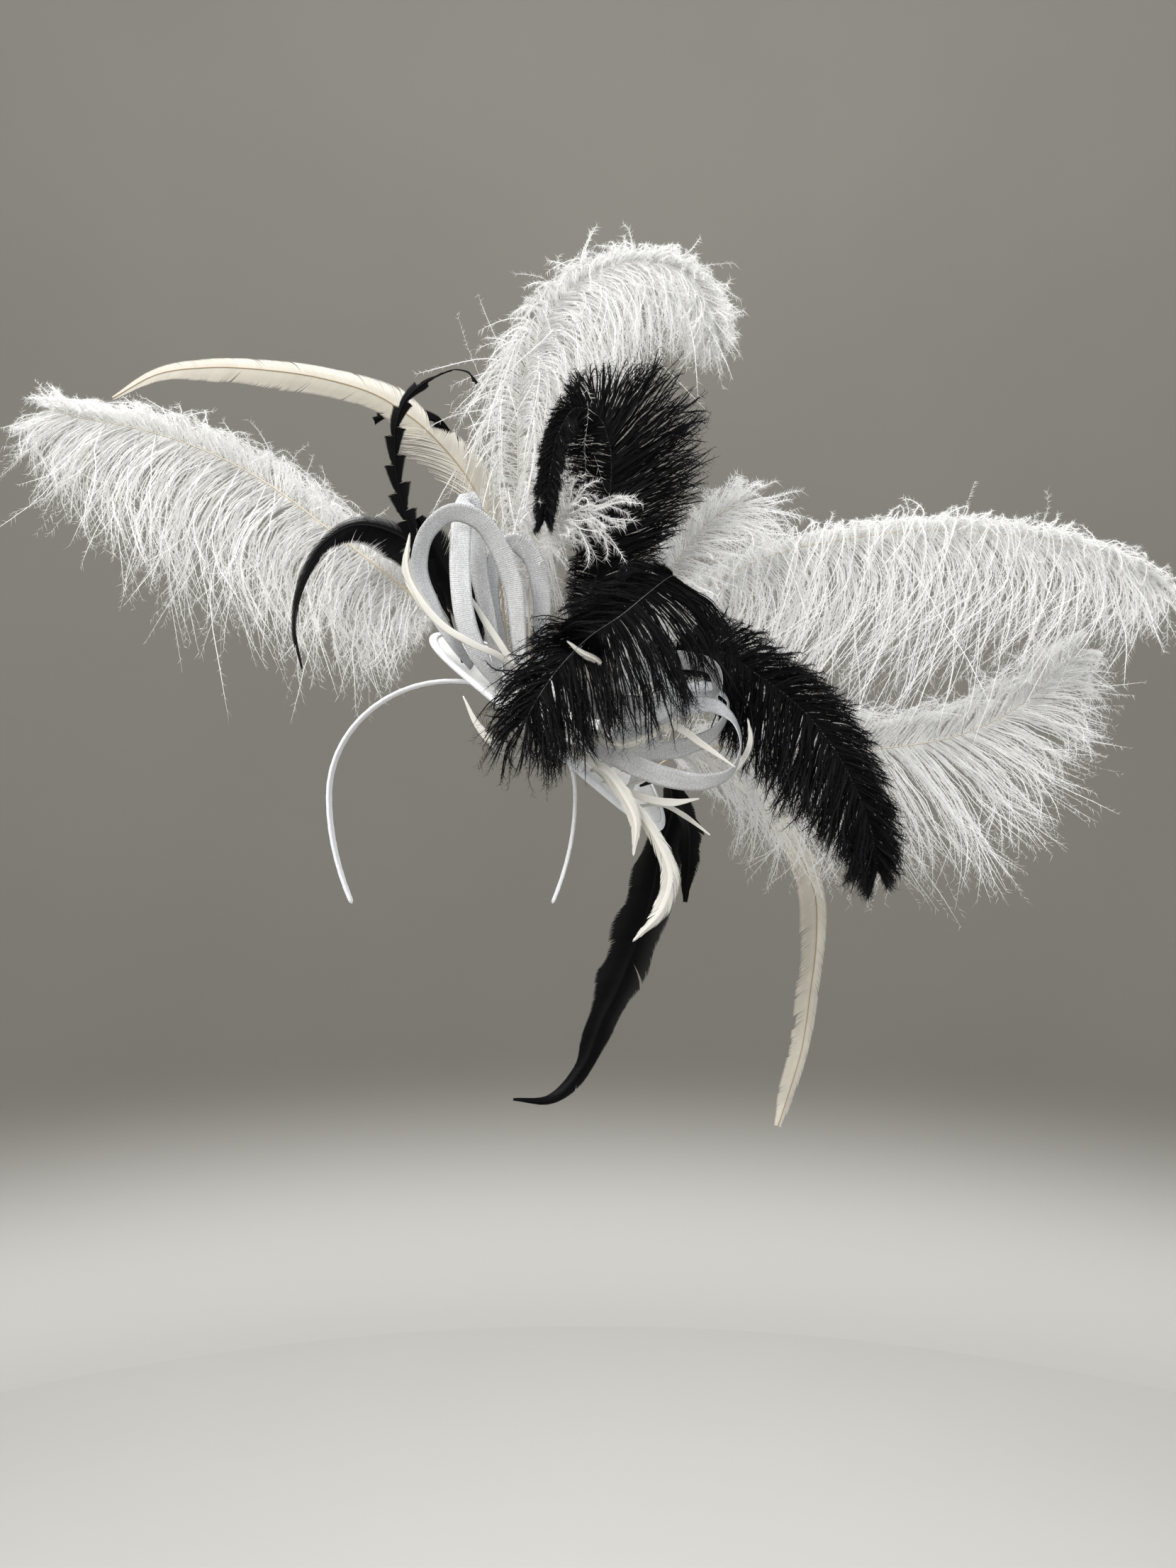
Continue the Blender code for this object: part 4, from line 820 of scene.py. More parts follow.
def vane(fine, sign, look, chance, edge):
    """One side of a feather's vane: thin barb strips that lie side by side. A barb leaves the shaft
    and sweeps ahead, and its tip ends on the vane's edge where that edge then is. Splits push the
    tips that follow them ahead, by less and less, which leaves slim open wedges."""
    path = fine[:, :3]
    length = np.linalg.norm(np.diff(path, axis=0), axis=1).sum()
    stations = np.linspace(0.0, length, len(fine))
    swell, lobe = look["lobes"]
    edge = edge * (1 + swell * np.sin(stations * 2 * math.pi / lobe + look["seed"] + sign))
    start, end = look["from"][0 if sign > 0 else 1] * length, look["to"] * length
    root = np.arange(start, end - look["spacing"], look["spacing"])
    lead = 1 / math.tan(math.radians(look["sweep"]))
    tip = root
    for _ in range(4):
        tip = root + np.interp(tip, stations, edge) * lead
    tip = np.minimum(tip, length)
    group = np.cumsum(chance.random(len(root)) < look["spacing"] / look["group"])
    uneven = chance.normal(size=group[-1] + 1)[group]
    splits = np.sort(chance.uniform(start, end, look["splits"]))
    after = root[:, None] - splits[None, :]
    pushed = np.where(after >= 0, np.exp(-np.maximum(after, 0) / look["group"]), 0).sum(axis=1)
    wide = np.interp(tip, stations, edge)
    # Where a cut-back edge is short, the barb ends early on the same line.
    ragged = look["ragged"] * uneven + VANE_OWN_RAGGED * look["ragged"] * chance.normal(size=len(root))
    wide = wide * np.clip(1 + ragged, *VANE_EDGE_RANGE)
    tip = np.minimum(tip + pushed * look["push"] * wide + 0.02 * wide * uneven, length)
    q = np.linspace(0.0, 1.0, look["points"])[None, :]
    at = (root[:, None] + (tip - root)[:, None] * q**1.2) / length * (len(fine) - 1)
    across_line = width_directions(path, fine[:, 5])
    tangent_line = unit(np.gradient(path, axis=0))
    ways = [across_line, np.cross(tangent_line, across_line), tangent_line]
    turn = read_at(np.concatenate(ways, axis=1), at)
    across, up, tangent = turn[..., :3], turn[..., 3:6], turn[..., 6:]
    out = wide[:, None] * (1 - (1 - q) ** 1.15)
    bow = -look["camber"] * out**2 / np.maximum(edge.max(), 1.0)
    line = read_at(fine, at)[..., :3] + sign * across * out[..., None] + up * bow[..., None]
    line = line + up * (VANE_RISE * uneven[:, None] * q * look["lift"])[..., None]
    last = np.clip((q - (1 - VANE_TIP_RUN)) / VANE_TIP_RUN, 0, 1)
    half = look["spacing"] * look["cover"] * (1 - VANE_TIP_TAPER * last)
    half = np.broadcast_to(half, line.shape[:2])
    shade = SHARED_SHADE * chance.random(group[-1] + 1)[group]
    shade = shade + (1 - SHARED_SHADE) * chance.random(len(root))
    return strips(line, unit(tangent + VANE_TILT * up), half, shade)


def tooth_edge(fine, sign, teeth):
    """The edge of a notched vane: it widens along each tooth and is then cut straight back. Its
    point stands a little past the solid tooth's, which tapers off behind it."""
    shift = 1 / 3 if sign > 0 else 0.0
    phase = (np.linspace(0.0, teeth, len(fine)) + shift) % 1.0
    grow = np.interp(phase, [0.0, 0.86, 0.9, 1.0], [0.1, TOOTH_OVER, 0.0, 0.0])
    return fine[:, SIDE_COLUMN[sign]] * (NOTCH_SHARE + (1 - NOTCH_SHARE) * grow)


def wisps(fine, sign, part, chance):
    """Loose barbs: single fine strips with air between them, which leave the shaft and fall."""
    count = part["count"]
    at = np.linspace(part["from"], part["to"], count) * (len(fine) - 1)
    here = read_at(fine, at)
    tangent = unit(read_at(unit(np.gradient(fine[:, :3], axis=0)), at))
    stray = chance.normal(size=(count, 4))
    reach = part["reach"] * here[:, SIDE_COLUMN[sign]] * (1 + 0.06 * stray[:, 3])
    out = unit(sign * unit(np.cross(FRONT, tangent)) + part["ahead"] * tangent + 0.05 * stray[:, :3])
    q = np.linspace(0.0, 1.0, WISP_POINTS)[None, :, None]
    path = out[:, None, :] * q + part["fall"] * q**2 * DOWN
    line = here[:, None, :3] + reach[:, None, None] * path
    half = np.broadcast_to(WISP_WIDTH / 2 * (1 - 0.8 * q[..., 0]), line.shape[:2])
    return strips(line, cross_axes(line)[1], half, chance.random(count))


def feather(name, spec, look, slot, material, shaft_material):
    """A feather: its shaft, and a vane of barbs on both sides, cut into teeth if it is notched."""
    chance = np.random.default_rng(look["seed"])
    fine = smooth_rows(feather_rows(spec), FINE_STATIONS)
    teeth = spec.get("teeth")
    edges = {sign: tooth_edge(fine, sign, teeth) if teeth else fine[:, SIDE_COLUMN[sign]] for sign in (1, -1)}
    sets = [vane(fine, sign, look, chance, edge) for sign, edge in edges.items()]
    sets += [wisps(fine, sign, part, chance) for sign, part in look["wisps"]]
    put_piece(name, "_vane", slot, material, *sets)
    shaft_set = shaft(fine, *look["shaft"], *FEATHER_SHAFT, FEATHER_SHAFT_PROUD)
    put_piece(name, "_shaft", slot, shaft_material, shaft_set)


# ---- ribbons and quills


def ribbon_loop(name, spec, sizes, material):
    """A ribbon loop: a strip along its rows, slightly crowned across, with a wall put on after."""
    line = smooth_rows(with_seats(spec, RIBBON_ROOT_WIDTH, RIBBON_THICKNESS), RIBBON_STATIONS)
    path, half = line[:, :3], line[:, 3]
    across = width_directions(path, line[:, 5])
    up = np.cross(unit(np.gradient(path, axis=0)), across)
    share = np.linspace(-1.0, 1.0, RIBBON_COLUMNS)
    run = run_along(path)
    crown = RIBBON_CROWN * (1 - share**2)[None, :] * np.minimum(half / 5, 1)[:, None]
    ripple = RIBBON_RIPPLE * np.sin(run / RIBBON_RIPPLE_RUN)[:, None] * share[None, :]
    points = path[:, None, :] - across[:, None, :] * (share[None, :] * half[:, None])[..., None]
    points = points + up[:, None, :] * (crown + ripple)[..., None]
    uv = map_places((share + 1) * RIBBON_MAP_HALF, run[:, None])
    faces = [grid_faces(len(path), len(share))]
    piece = put_piece(name, "_straw", "ribbon", material, (points.reshape(-1, 3), faces, uv))
    wall = piece.modifiers.new("Wall", "SOLIDIFY")
    wall.thickness = sizes.ribbon_wall
    wall.offset = 0.0


def quill(name, spec, look, material):
    """An ivory quill: a lens profile carried along its rows, with a fringe of barbs where its end
    is feathered."""
    chance = np.random.default_rng(look["seed"])
    rows = with_seats(spec, BIOT_ROOT_WIDTH, BIOT_THICKNESS)
    line = smooth_rows(rows, BIOT_STATIONS)
    path, half = line[:, :3], line[:, 3]
    across = width_directions(path, line[:, 5])
    up = np.cross(unit(np.gradient(path, axis=0)), across)
    turn = circle(BIOT_SIDES)
    way = np.linspace(0.0, 1.0, len(path))
    if look["fringe"]:
        half = half * (1 - FRINGE_NARROWER * np.clip((way - look["fringe"]) / FRINGE_RUN, 0, 1))
    thick = np.minimum(0.3 + 0.02 * half, half * 0.6)
    groove = 1 - BIOT_GROOVE * np.exp(-((np.cos(turn) / BIOT_GROOVE_WIDTH) ** 2))
    high = np.sin(turn)[None, :] * thick[:, None] * groove[None, :]
    ends = np.stack([path[0], path[-1] + unit(path[-1] - path[-2]) * 0.4])
    points, faces = closed_sweep(path, across, up, np.cos(turn)[None, :] * half[:, None], high, ends)
    uv = np.concatenate([map_places(way[:, None], np.cos(turn) * 0.5 + 0.5), [[0, 0.5], [1, 0.5]]])
    sets = [(points, faces, uv)]
    if look["fringe"]:
        fine = smooth_rows(rows, FINE_STATIONS)
        part = {**look, "from": (look["fringe"], look["fringe"]), "to": 0.99}
        sets += [vane(fine, sign, part, chance, fine[:, 3] * 1.15) for sign in (1, -1)]
    put_piece(name, "_quill", "ivory_quill", material, *sets)


# ---- headband and base


def headband_line(count):
    """The inner face of the headband, from one end over the crown to the other: half an ellipse,
    then two ends that draw in with the square of the way down."""
    angle = np.linspace(0.0, math.pi / 2, count)
    share = np.linspace(0.0, 1.0, count // 2)[1:]
    x = np.concatenate([BAND_HALF_WIDTH * np.sin(angle), BAND_HALF_WIDTH - BAND_END_INSET * share**2])
    drop = -BAND_WIDEST_BELOW - (BAND_END_BELOW - BAND_WIDEST_BELOW) * share
    z = np.concatenate([BAND_WIDEST_BELOW * (np.cos(angle) - 1), drop])
    half = np.stack([x, np.zeros(len(x)), z], axis=1)
    return np.concatenate([half[:0:-1] * (-1, 1, 1), half])


def headband(material):
    """The satin headband: a rounded flat profile carried over the crown, wrapped in a slanting strip
    whose laps stand a little proud."""
    line = headband_line(70)
    run = run_along(line)
    even = np.linspace(0.0, run[-1], BAND_STATIONS)
    path = interpolate(even, run, line)
    outward = np.cross(-FRONT, unit(np.gradient(path, axis=0)))
    from_end = np.minimum(even, run[-1] - even)
    depth = np.interp(from_end, [0, BAND_END_RUN], [BAND_END_DEPTH, BAND_DEPTH])
    rounded = np.sqrt(np.clip(1 - (1 - np.clip(from_end / BAND_END_ROUND, 0, 1)) ** 2, 0.0004, 1))[:, None]
    turn = circle(BAND_SIDES)
    side = np.sign(np.cos(turn)) * np.abs(np.cos(turn)) ** 0.45
    face = np.sign(np.sin(turn)) * np.abs(np.sin(turn)) ** 0.55
    wide = side[None, :] * depth[:, None] / 2 * rounded
    lap = (even[:, None] / WRAP_PITCH + side[None, :] * WRAP_SLANT * np.sign(face)[None, :]) % 1.0
    proud = WRAP_PROUD * (lap - 0.5) * np.minimum(from_end / 8, 1)[:, None]
    high = BAND_THICKNESS / 2 + (face * BAND_THICKNESS / 2 + np.sign(face) * proud) * rounded
    points, faces = closed_sweep(path, np.broadcast_to(FRONT, path.shape), outward, wide, high)
    uv = np.concatenate([map_places(wide, even[:, None]), [[0, 0], [0, even[-1]]]])
    put_piece("headband", "_satin", "satin", material, (points, faces, uv))


def base_disc(material):
    """The pressed straw cloth: an oval sheet bent along its length, with soft dents, as two faces
    that meet at the rim."""
    grip_room = FIT_GAP + BINDING_WIDTH - BINDING_GRIP
    turn = circle(BASE_SIDES)
    share = np.linspace(0.02, 1.0, BASE_RINGS)
    along = (BASE_HALF_LENGTH - grip_room) * share[:, None] * np.cos(turn)[None, :]
    across = (BASE_HALF_WIDTH - grip_room) * share[:, None] * np.sin(turn)[None, :]
    waves = np.sin(along / BASE_DENT_RUNS[0] + 0.8) * np.cos(across / BASE_DENT_RUNS[1])
    dent = BASE_DENT * waves * (1 - share[:, None] ** 4)
    thick = BASE_THICKNESS / 2 * np.where(share > 0.995, 0.55, 1.0)[:, None]
    points = [base_point(along, across, level * thick + dent).reshape(-1, 3) for level in (1, -1)]
    points.append(base_point(np.zeros(2), np.zeros(2), np.array([1.0, -1.0]) * BASE_THICKNESS / 2))
    count = len(points[0])
    top = grid_faces(len(share), BASE_SIDES, closed=True)
    last = np.arange(count - BASE_SIDES, count)
    rim = np.stack([last + count, np.roll(last, -1) + count, np.roll(last, -1), last], axis=1)
    first = np.arange(BASE_SIDES)
    caps = [cap_faces(first, 2 * count), cap_faces(first + count, 2 * count + 1)[:, ::-1]]
    places = map_places(along, across)
    uv = np.concatenate([places, places, np.zeros((2, 2))])
    faces = [top[:, ::-1], top + count, rim, *caps]
    put_piece("base_disc", "_cloth", "straw_cloth", material, (np.concatenate(points), faces, uv))


def base_binding(material):
    """The satin binding: a folded profile carried round the rim, with small puckers at its stitches."""
    half, slot = BINDING_THICKNESS / 2, BASE_THICKNESS / 2 + FIT_GAP
    fold = np.linspace(-math.pi / 2, math.pi / 2, 13)
    lip = [BINDING_WIDTH - BINDING_GRIP, BINDING_WIDTH, BINDING_WIDTH * 0.82]
    inset = np.concatenate([lip, BINDING_WIDTH * 0.5 * (1 - np.cos(fold)), lip[::-1]])
    height = np.concatenate([[-slot, -slot, -half * 0.8], half * np.sin(fold), [half * 0.8, slot, slot]])
    turn = circle(BINDING_STATIONS)[:, None]
    run = turn * math.sqrt((BASE_HALF_LENGTH**2 + BASE_HALF_WIDTH**2) / 2)
    stitch = np.sin(run * 2 * math.pi / PUCKER_PITCH) * np.exp(-((inset - PUCKER_INSET) ** 2))
    along, across = (BASE_HALF_LENGTH - inset) * np.cos(turn), (BASE_HALF_WIDTH - inset) * np.sin(turn)
    points = base_point(along, across, height * (1 + PUCKER_DEPTH * stitch))
    index = np.arange(len(turn) * len(inset)).reshape(len(turn), len(inset))
    ahead = np.roll(index, -1, axis=0)
    faces = np.stack([ahead, np.roll(ahead, -1, axis=1), np.roll(index, -1, axis=1), index], axis=-1)
    parts = (points.reshape(-1, 3), [faces.reshape(-1, 4)], map_places(inset, run))
    put_piece("base_binding", "_satin", "satin", material, parts)


# ---- materials


class Wire:
    """A value on its way through a node tree. What is done with it becomes more nodes."""

    def __init__(self, tree, socket):
        self.tree, self.socket = tree, socket

    def math(self, operation, *values):
        """The result of one sum on numbers."""
        return add(self.tree, "ShaderNodeMath", dict(enumerate(values)), operation=operation)

    def __add__(self, other):
        return self.math("ADD", self, other)

    def __sub__(self, other):
        return self.math("SUBTRACT", self, other)

    def __rsub__(self, other):
        return self.math("SUBTRACT", other, self)

    def __mul__(self, other):
        return self.math("MULTIPLY", self, other)

    def __truediv__(self, other):
        return self.math("DIVIDE", self, other)

    def wave(self):
        """A sine that goes once round for every whole number."""
        return self.math("SINE", self * (2 * math.pi))

    def rescale(self, low, high, to_low=0.0, to_high=1.0, **settings):
        """The value carried from one range to another, and held there."""
        ranges = {0: self, 1: low, 2: high, 3: to_low, 4: to_high}
        return add(self.tree, "ShaderNodeMapRange", ranges, **settings)

    def parts(self):
        """The three parts of a place."""
        node = self.tree.nodes.new("ShaderNodeSeparateXYZ")
        feed(self.tree, node.inputs, {0: self})
        return [Wire(self.tree, socket) for socket in node.outputs]

    def noise(self, scale, detail):
        """Soft noise over a place."""
        return add(self.tree, "ShaderNodeTexNoise", {"Vector": self, "Scale": scale, "Detail": detail})

    def stretched(self, *scale):
        """A place with its three parts scaled."""
        return add(self.tree, "ShaderNodeMapping", {"Vector": self, "Scale": scale})

    def mix(self, first, second):
        """Two colours mixed by this share."""
        return add(self.tree, "ShaderNodeMix", {0: self, 6: first, 7: second}, 2, data_type="RGBA")

    def dimmed(self, keep):
        """A colour times a number."""
        gray = add(self.tree, "ShaderNodeCombineColor", {0: keep, 1: keep, 2: keep})
        inputs = {0: 1.0, 6: self, 7: gray}
        return add(self.tree, "ShaderNodeMix", inputs, 2, data_type="RGBA", blend_type="MULTIPLY")


def feed(tree, sockets, values):
    """Joins each socket to a wire or sets it to a value."""
    for key, value in dict(values).items():
        if isinstance(value, Wire):
            tree.links.new(value.socket, sockets[key])
        else:
            sockets[key].default_value = value


def add(tree, kind, inputs=(), output=0, **settings):
    """One output of a new node, whose inputs are fed."""
    node = tree.nodes.new(kind)
    for key, value in settings.items():
        setattr(node, key, value)
    feed(tree, node.inputs, inputs)
    return Wire(tree, node.outputs[output])


def new_group(name, inputs, outputs):
    """A shader node group. Its inputs are vectors where no value is given, colours where there are
    four numbers, and else numbers. The outputs are given with their kinds."""
    tree = bpy.data.node_groups.new(name, "ShaderNodeTree")
    for label, value in inputs.items():
        kind = "Vector" if value is None else "Float" if isinstance(value, float) else "Color"
        socket = tree.interface.new_socket(name=label, in_out="INPUT", socket_type="NodeSocket" + kind)
        if value is not None:
            socket.default_value = value
    for label, kind in outputs.items():
        tree.interface.new_socket(name=label, in_out="OUTPUT", socket_type="NodeSocket" + kind)
    taken = {socket.name: Wire(tree, socket) for socket in tree.nodes.new("NodeGroupInput").outputs}
    return tree, taken, tree.nodes.new("NodeGroupOutput").inputs


def strand_group():
    """Barb colour: from the root's to the tip's along the strand, darker or lighter from strand to
    strand, in soft patches over the piece."""
    tree, taken, given = new_group("Strand Tone", {
        "Strand": None, "Root Color": (0.5, 0.5, 0.5, 1), "Tip Color": (0.9, 0.9, 0.9, 1), "Turn": 0.3,
        "Spread": 0.2, "Patches": 0.1,
    }, {"Color": "Color", "Gloss": "Float"})
    along, shade, _ = taken["Strand"].parts()
    color = along.rescale(0.0, taken["Turn"]).mix(taken["Root Color"], taken["Tip Color"])
    noise = add(tree, "ShaderNodeTexCoord", output="Object").noise(45.0, 3.0)
    dim = shade * taken["Spread"] + noise.rescale(0.3, 0.7) * taken["Patches"]
    feed(tree, given, {"Color": color.dimmed(1.0 - dim), "Gloss": noise + shade * 0.3})
    return tree


def weave_group():
    """Woven straw: ribs across the strip, flat straws along it, and slubs that wander. Its tone is the
    straw's own streaks, with painted shade a little darker where the weave lies low. Place is in
    millimetres, first across and then along."""
    tree, taken, given = new_group("Woven Straw", {
        "Place": None, "Rib": 0.8, "Straw": 1.2, "Slub": 0.3,
    }, {"Height": "Float", "Tone": "Float"})
    across, along, _ = taken["Place"].parts()
    wander = (taken["Place"].noise(0.35, 4.0) - 0.5) * taken["Slub"]
    ribs = (along / taken["Rib"] + wander).wave()
    straws = (across / taken["Straw"] + wander).wave()
    height = ribs * 0.35 + ribs * straws * 0.5
    streaks = add(tree, "ShaderNodeCombineXYZ", {0: across * 2.2, 1: along * 0.12}).noise(1.0, 3.0)
    # The tone: the straw's own streaks, and painted shade where the weave's height is low.
    tone = height * 0.18 + streaks.rescale(0.3, 0.7)
    feed(tree, given, {"Height": height.rescale(-0.85, 0.85), "Tone": tone.rescale(-0.1, 1.1)})
    return tree


def thread_group():
    """Satin: fine floats that run one way, slightly uneven, for its height and its gloss."""
    tree, taken, given = new_group("Satin Threads", {
        "Place": None, "Pitch": 0.35, "Slant": 0.5,
    }, {"Height": "Float", "Gloss": "Float"})
    across, along, _ = taken["Place"].parts()
    noise = taken["Place"].noise(0.6, 4.0)
    threads = ((along + across * taken["Slant"]) / taken["Pitch"] + noise * 2.0).wave()
    feed(tree, given, {"Height": threads.rescale(-1.0, 1.0), "Gloss": threads * 0.2 + noise})
    return tree


def rgba(color, share=1.0):
    """A colour times a share, with full opacity."""
    return (color[0] * share, color[1] * share, color[2] * share, 1.0)


class Finish:
    """A material under way: its tree, its main shader and what it reads."""

    def __init__(self, name, roughness, specular=0.4, sheen=0.0, sheen_roughness=0.5, glow=0.0):
        self.name, self.glow = name, glow
        self.material = bpy.data.materials.new(name)
        self.material.use_nodes = True
        self.tree = self.material.node_tree
        self.shader = self.tree.nodes["Principled BSDF"]
        feed(self.tree, self.shader.inputs, {
            "Roughness": roughness, "Specular IOR Level": specular, "Sheen Weight": sheen,
            "Sheen Roughness": sheen_roughness,
        })

    def map(self):
        """The place on the piece's own map."""
        return add(self.tree, "ShaderNodeUVMap", uv_map="Strand")

    def place(self):
        """The place on the object, in metres."""
        return add(self.tree, "ShaderNodeTexCoord", output="Object")

    def group(self, group, inputs):
        """A node group with its own values; gives its outputs by name."""
        node = self.tree.nodes.new("ShaderNodeGroup")
        node.node_tree = group
        feed(self.tree, node.inputs, inputs)
        return {socket.name: Wire(self.tree, socket) for socket in node.outputs}

    def color(self, wire):
        """Sets what feeds the base colour, and lets a share of the light through if asked."""
        feed(self.tree, self.shader.inputs, {"Base Color": wire})
        if self.glow:
            through = add(self.tree, "ShaderNodeBsdfTranslucent", {0: wire})
            inputs = {0: self.glow, 1: Wire(self.tree, self.shader.outputs[0]), 2: through}
            both = add(self.tree, "ShaderNodeMixShader", inputs)
            feed(self.tree, self.tree.nodes["Material Output"].inputs, {0: both})

    def rough(self, wire):
        """Sets what feeds the roughness."""
        feed(self.tree, self.shader.inputs, {"Roughness": wire})

    def relief(self, wire, distance):
        """Sets a bump of the given height in millimetres."""
        bump = add(self.tree, "ShaderNodeBump", {"Height": wire, "Distance": distance * MM, "Strength": 1.0})
        feed(self.tree, self.shader.inputs, {"Normal": bump})


def strand_finish(name, groups, root, tip, turn, spread, patches, rough=(0.5, 0.7), **shader):
    """A finish for barbs: tone along and between the strands."""
    made = Finish(name, rough[1], **shader)
    tone = made.group(groups["strand"], {
        "Strand": made.map(), "Root Color": root, "Tip Color": tip, "Turn": turn, "Spread": spread,
        "Patches": patches,
    })
    made.color(tone["Color"])
    made.rough(tone["Gloss"].rescale(0.2, 1.0, *rough))
    return made


def shaft_finish(name, groups, root, tip, specular=0.5):
    """A finish for shafts: horn colour with fine lengthwise streaks."""
    made = strand_finish(name, groups, rgba(root), rgba(tip), 1.0, 0.15, 0.12, (0.3, 0.45), specular=specular)
    made.relief(made.place().stretched(900.0, 900.0, 120.0).noise(1.0, 2.0), 0.05)
    return made


def woven_finish(name, groups, color, dark, weave, relief, rough, **shader):
    """A finish for woven straw, ribbon or cloth. Weave: its rib, straw and slub."""
    made = Finish(name, rough[1], **shader)
    inputs = {"Place": made.map(), **dict(zip(("Rib", "Straw", "Slub"), weave))}
    woven = made.group(groups["weave"], inputs)
    # The weave's tone carries its painted shade into the colour.
    tone = woven["Tone"].mix(rgba(color, dark), rgba(color))
    made.rough(woven["Tone"].rescale(0.0, 1.0, rough[1], rough[0]))
    made.relief(woven["Height"], relief)
    return made, tone


def cloth_finish(name, groups, color):
    """A finish for the straw cloth."""
    made, tone = woven_finish(name, groups, color, 0.78, (1.1, 1.1, 0.35), 0.16, (0.45, 0.7), specular=0.3)
    made.color(tone)
    return made


def ribbon_finish(name, groups, color):
    """A finish for the ribbon: woven straw, bright face-on and greyed by painted shade where it turns
    away from the view, with more painted shade in soft random patches along its length."""
    made, tone = woven_finish(
        name, groups, color, 0.72, (1.1, 1.5, 0.5), 0.3, (0.2, 0.38), specular=0.7, glow=0.06
    )
    # Painted shade: the colour greys where the ribbon turns edge-on to the view.
    facing = add(made.tree, "ShaderNodeLayerWeight", {0: 0.4}, "Facing").rescale(0.15, 0.85, 1.0, 0.66)
    # Painted shade: soft random patches, a little darker, along the ribbon.
    patch = made.map().stretched(0.12, 0.05, 1.0).noise(1.0, 2.0).rescale(0.35, 0.65, 0.86, 1.0)
    speckle = made.map().noise(0.9, 2.0).rescale(0.38, 0.62, 0.78, 1.0)
    made.color(tone.dimmed(facing * patch * speckle))
    return made


def satin_finish(name, groups, color, dark, pitch, slant, relief):
    """A finish for satin: threads, soft creases, and painted shade that darkens the colour where the creases
    lie low.
    """
    made = Finish(name, 0.32, specular=0.55, sheen=0.25, sheen_roughness=0.35)
    threads = made.group(groups["threads"], {"Place": made.map(), "Pitch": pitch, "Slant": slant})
    crease = made.map().stretched(0.25, 0.5, 1.0).noise(1.0, 3.0)
    # Painted shade: the colour darkens where the creases' bump lies low.
    made.color(crease.rescale(0.3, 0.7).mix(rgba(color, dark), rgba(color)))
    made.rough(threads["Gloss"].rescale(0.2, 0.9, 0.26, 0.42))
    made.relief(threads["Height"] * 0.12 + crease, relief)
    return made


def make_finishes(colors):
    """Every material of the fascinator, by the name its pieces ask for."""
    groups = {"strand": strand_group(), "weave": weave_group(), "threads": thread_group()}
    white, black, ivory, horn = colors.white_plume, colors.black_plume, colors.ivory, colors.quill
    strands = (
        (
            "white_plume", white, 0.9, 1.0, (0.25, 0.12, 0.05), (0.65, 0.85),
            {"specular": 0.15, "sheen": 0.25, "glow": 0.3},
        ),
        ("black_plume", black, 0.8, 1.5, (0.8, 0.5, 0.2), (0.5, 0.75), {"specular": 0.1}),
        ("black_vane", black, 0.8, 1.2, (0.9, 0.55, 0.2), (0.4, 0.55), {"specular": 0.07}),
        ("ivory_vane", ivory, 0.92, 1.0, (0.9, 0.14, 0.08), (0.4, 0.6), {"specular": 0.3, "glow": 0.3}),
        ("quill", horn, 0.85, 1.0, (0.8, 0.12, 0.08), (0.3, 0.5), {"specular": 0.45, "glow": 0.12}),
    )
    shafts = (
        ("white_shaft", (0.62, 0.53, 0.36), (0.85, 0.8, 0.7)),
        ("pale_shaft", (0.8, 0.75, 0.66), (0.88, 0.86, 0.82)),
        ("black_shaft", (0.008, 0.007, 0.007), (0.004, 0.004, 0.005), 0.08),
        ("gray_shaft", (0.05, 0.05, 0.055), (0.1, 0.1, 0.11)),
        ("tan_shaft", (0.5, 0.4, 0.26), (0.45, 0.33, 0.2)),
    )
    made = [
        strand_finish(name, groups, rgba(color, root), rgba(color, tip), *tones, rough, **shader)
        for name, color, root, tip, tones, rough, shader in strands
    ]
    made += [shaft_finish(name, groups, *rest) for name, *rest in shafts]
    made += [
        ribbon_finish("ribbon", groups, colors.ribbon),
        cloth_finish("straw_cloth", groups, colors.straw),
        satin_finish("satin_band", groups, colors.satin, 0.9, 0.35, 0.4, 0.25),
        satin_finish("satin_binding", groups, colors.satin, 0.86, 0.4, 0.9, 0.3),
    ]
    return {each.name: each.material for each in made}


FINISHES = {}


def finish(context, name):
    """A finish by name; all are made when the first is asked for."""
    if name not in FINISHES:
        FINISHES.update(make_finishes(context.scene.fascinator_colors))
    return FINISHES[name]


# ---- stage


def studio_bowl(name, profile, material):
    """A stage surface: a profile of radius and height turned about an upright axis."""
    turn = circle(96)
    radius, height = np.array(profile, dtype=float).T[..., None]
    x = STAGE_CENTER[0] + radius * np.cos(turn)
    y = STAGE_CENTER[1] + radius * np.sin(turn)
    points = np.stack([x, y, np.broadcast_to(height, x.shape)], axis=-1).reshape(-1, 3)
    mesh = bpy.data.meshes.new(name)
    mesh.from_pydata(points.tolist(), [], grid_faces(len(radius), 96, closed=True).tolist())
    link_mesh(name, mesh, material)


def plain_finish(name, color, spread, foot=None):
    """A matt painted finish with a faint unevenness, which fades to another colour at its foot."""
    made = Finish(name, 0.9, specular=0.1)
    place = made.place()
    tone = place.noise(1.5, 5.0).rescale(0.3, 0.7).mix(rgba(color, 1 - spread), rgba(color))
    if foot is not None:
        tone = place.parts()[2].rescale(*WALL_FADE, interpolation_type="SMOOTHERSTEP").mix(rgba(foot), tone)
    made.color(tone)
    return made.material


def soft_light(name, place, aim, power, size, color):
    """A square area light that looks at a point."""
    light = bpy.data.lights.new(name, "AREA")
    light.energy = power
    light.size = size
    light.color = color
    holder = bpy.data.objects.new(name, light)
    holder.location = place
    holder.rotation_euler = (Vector(aim) - Vector(place)).to_track_quat("-Z", "Y").to_euler()
    holder.visible_camera = False
    bpy.context.scene.collection.objects.link(holder)


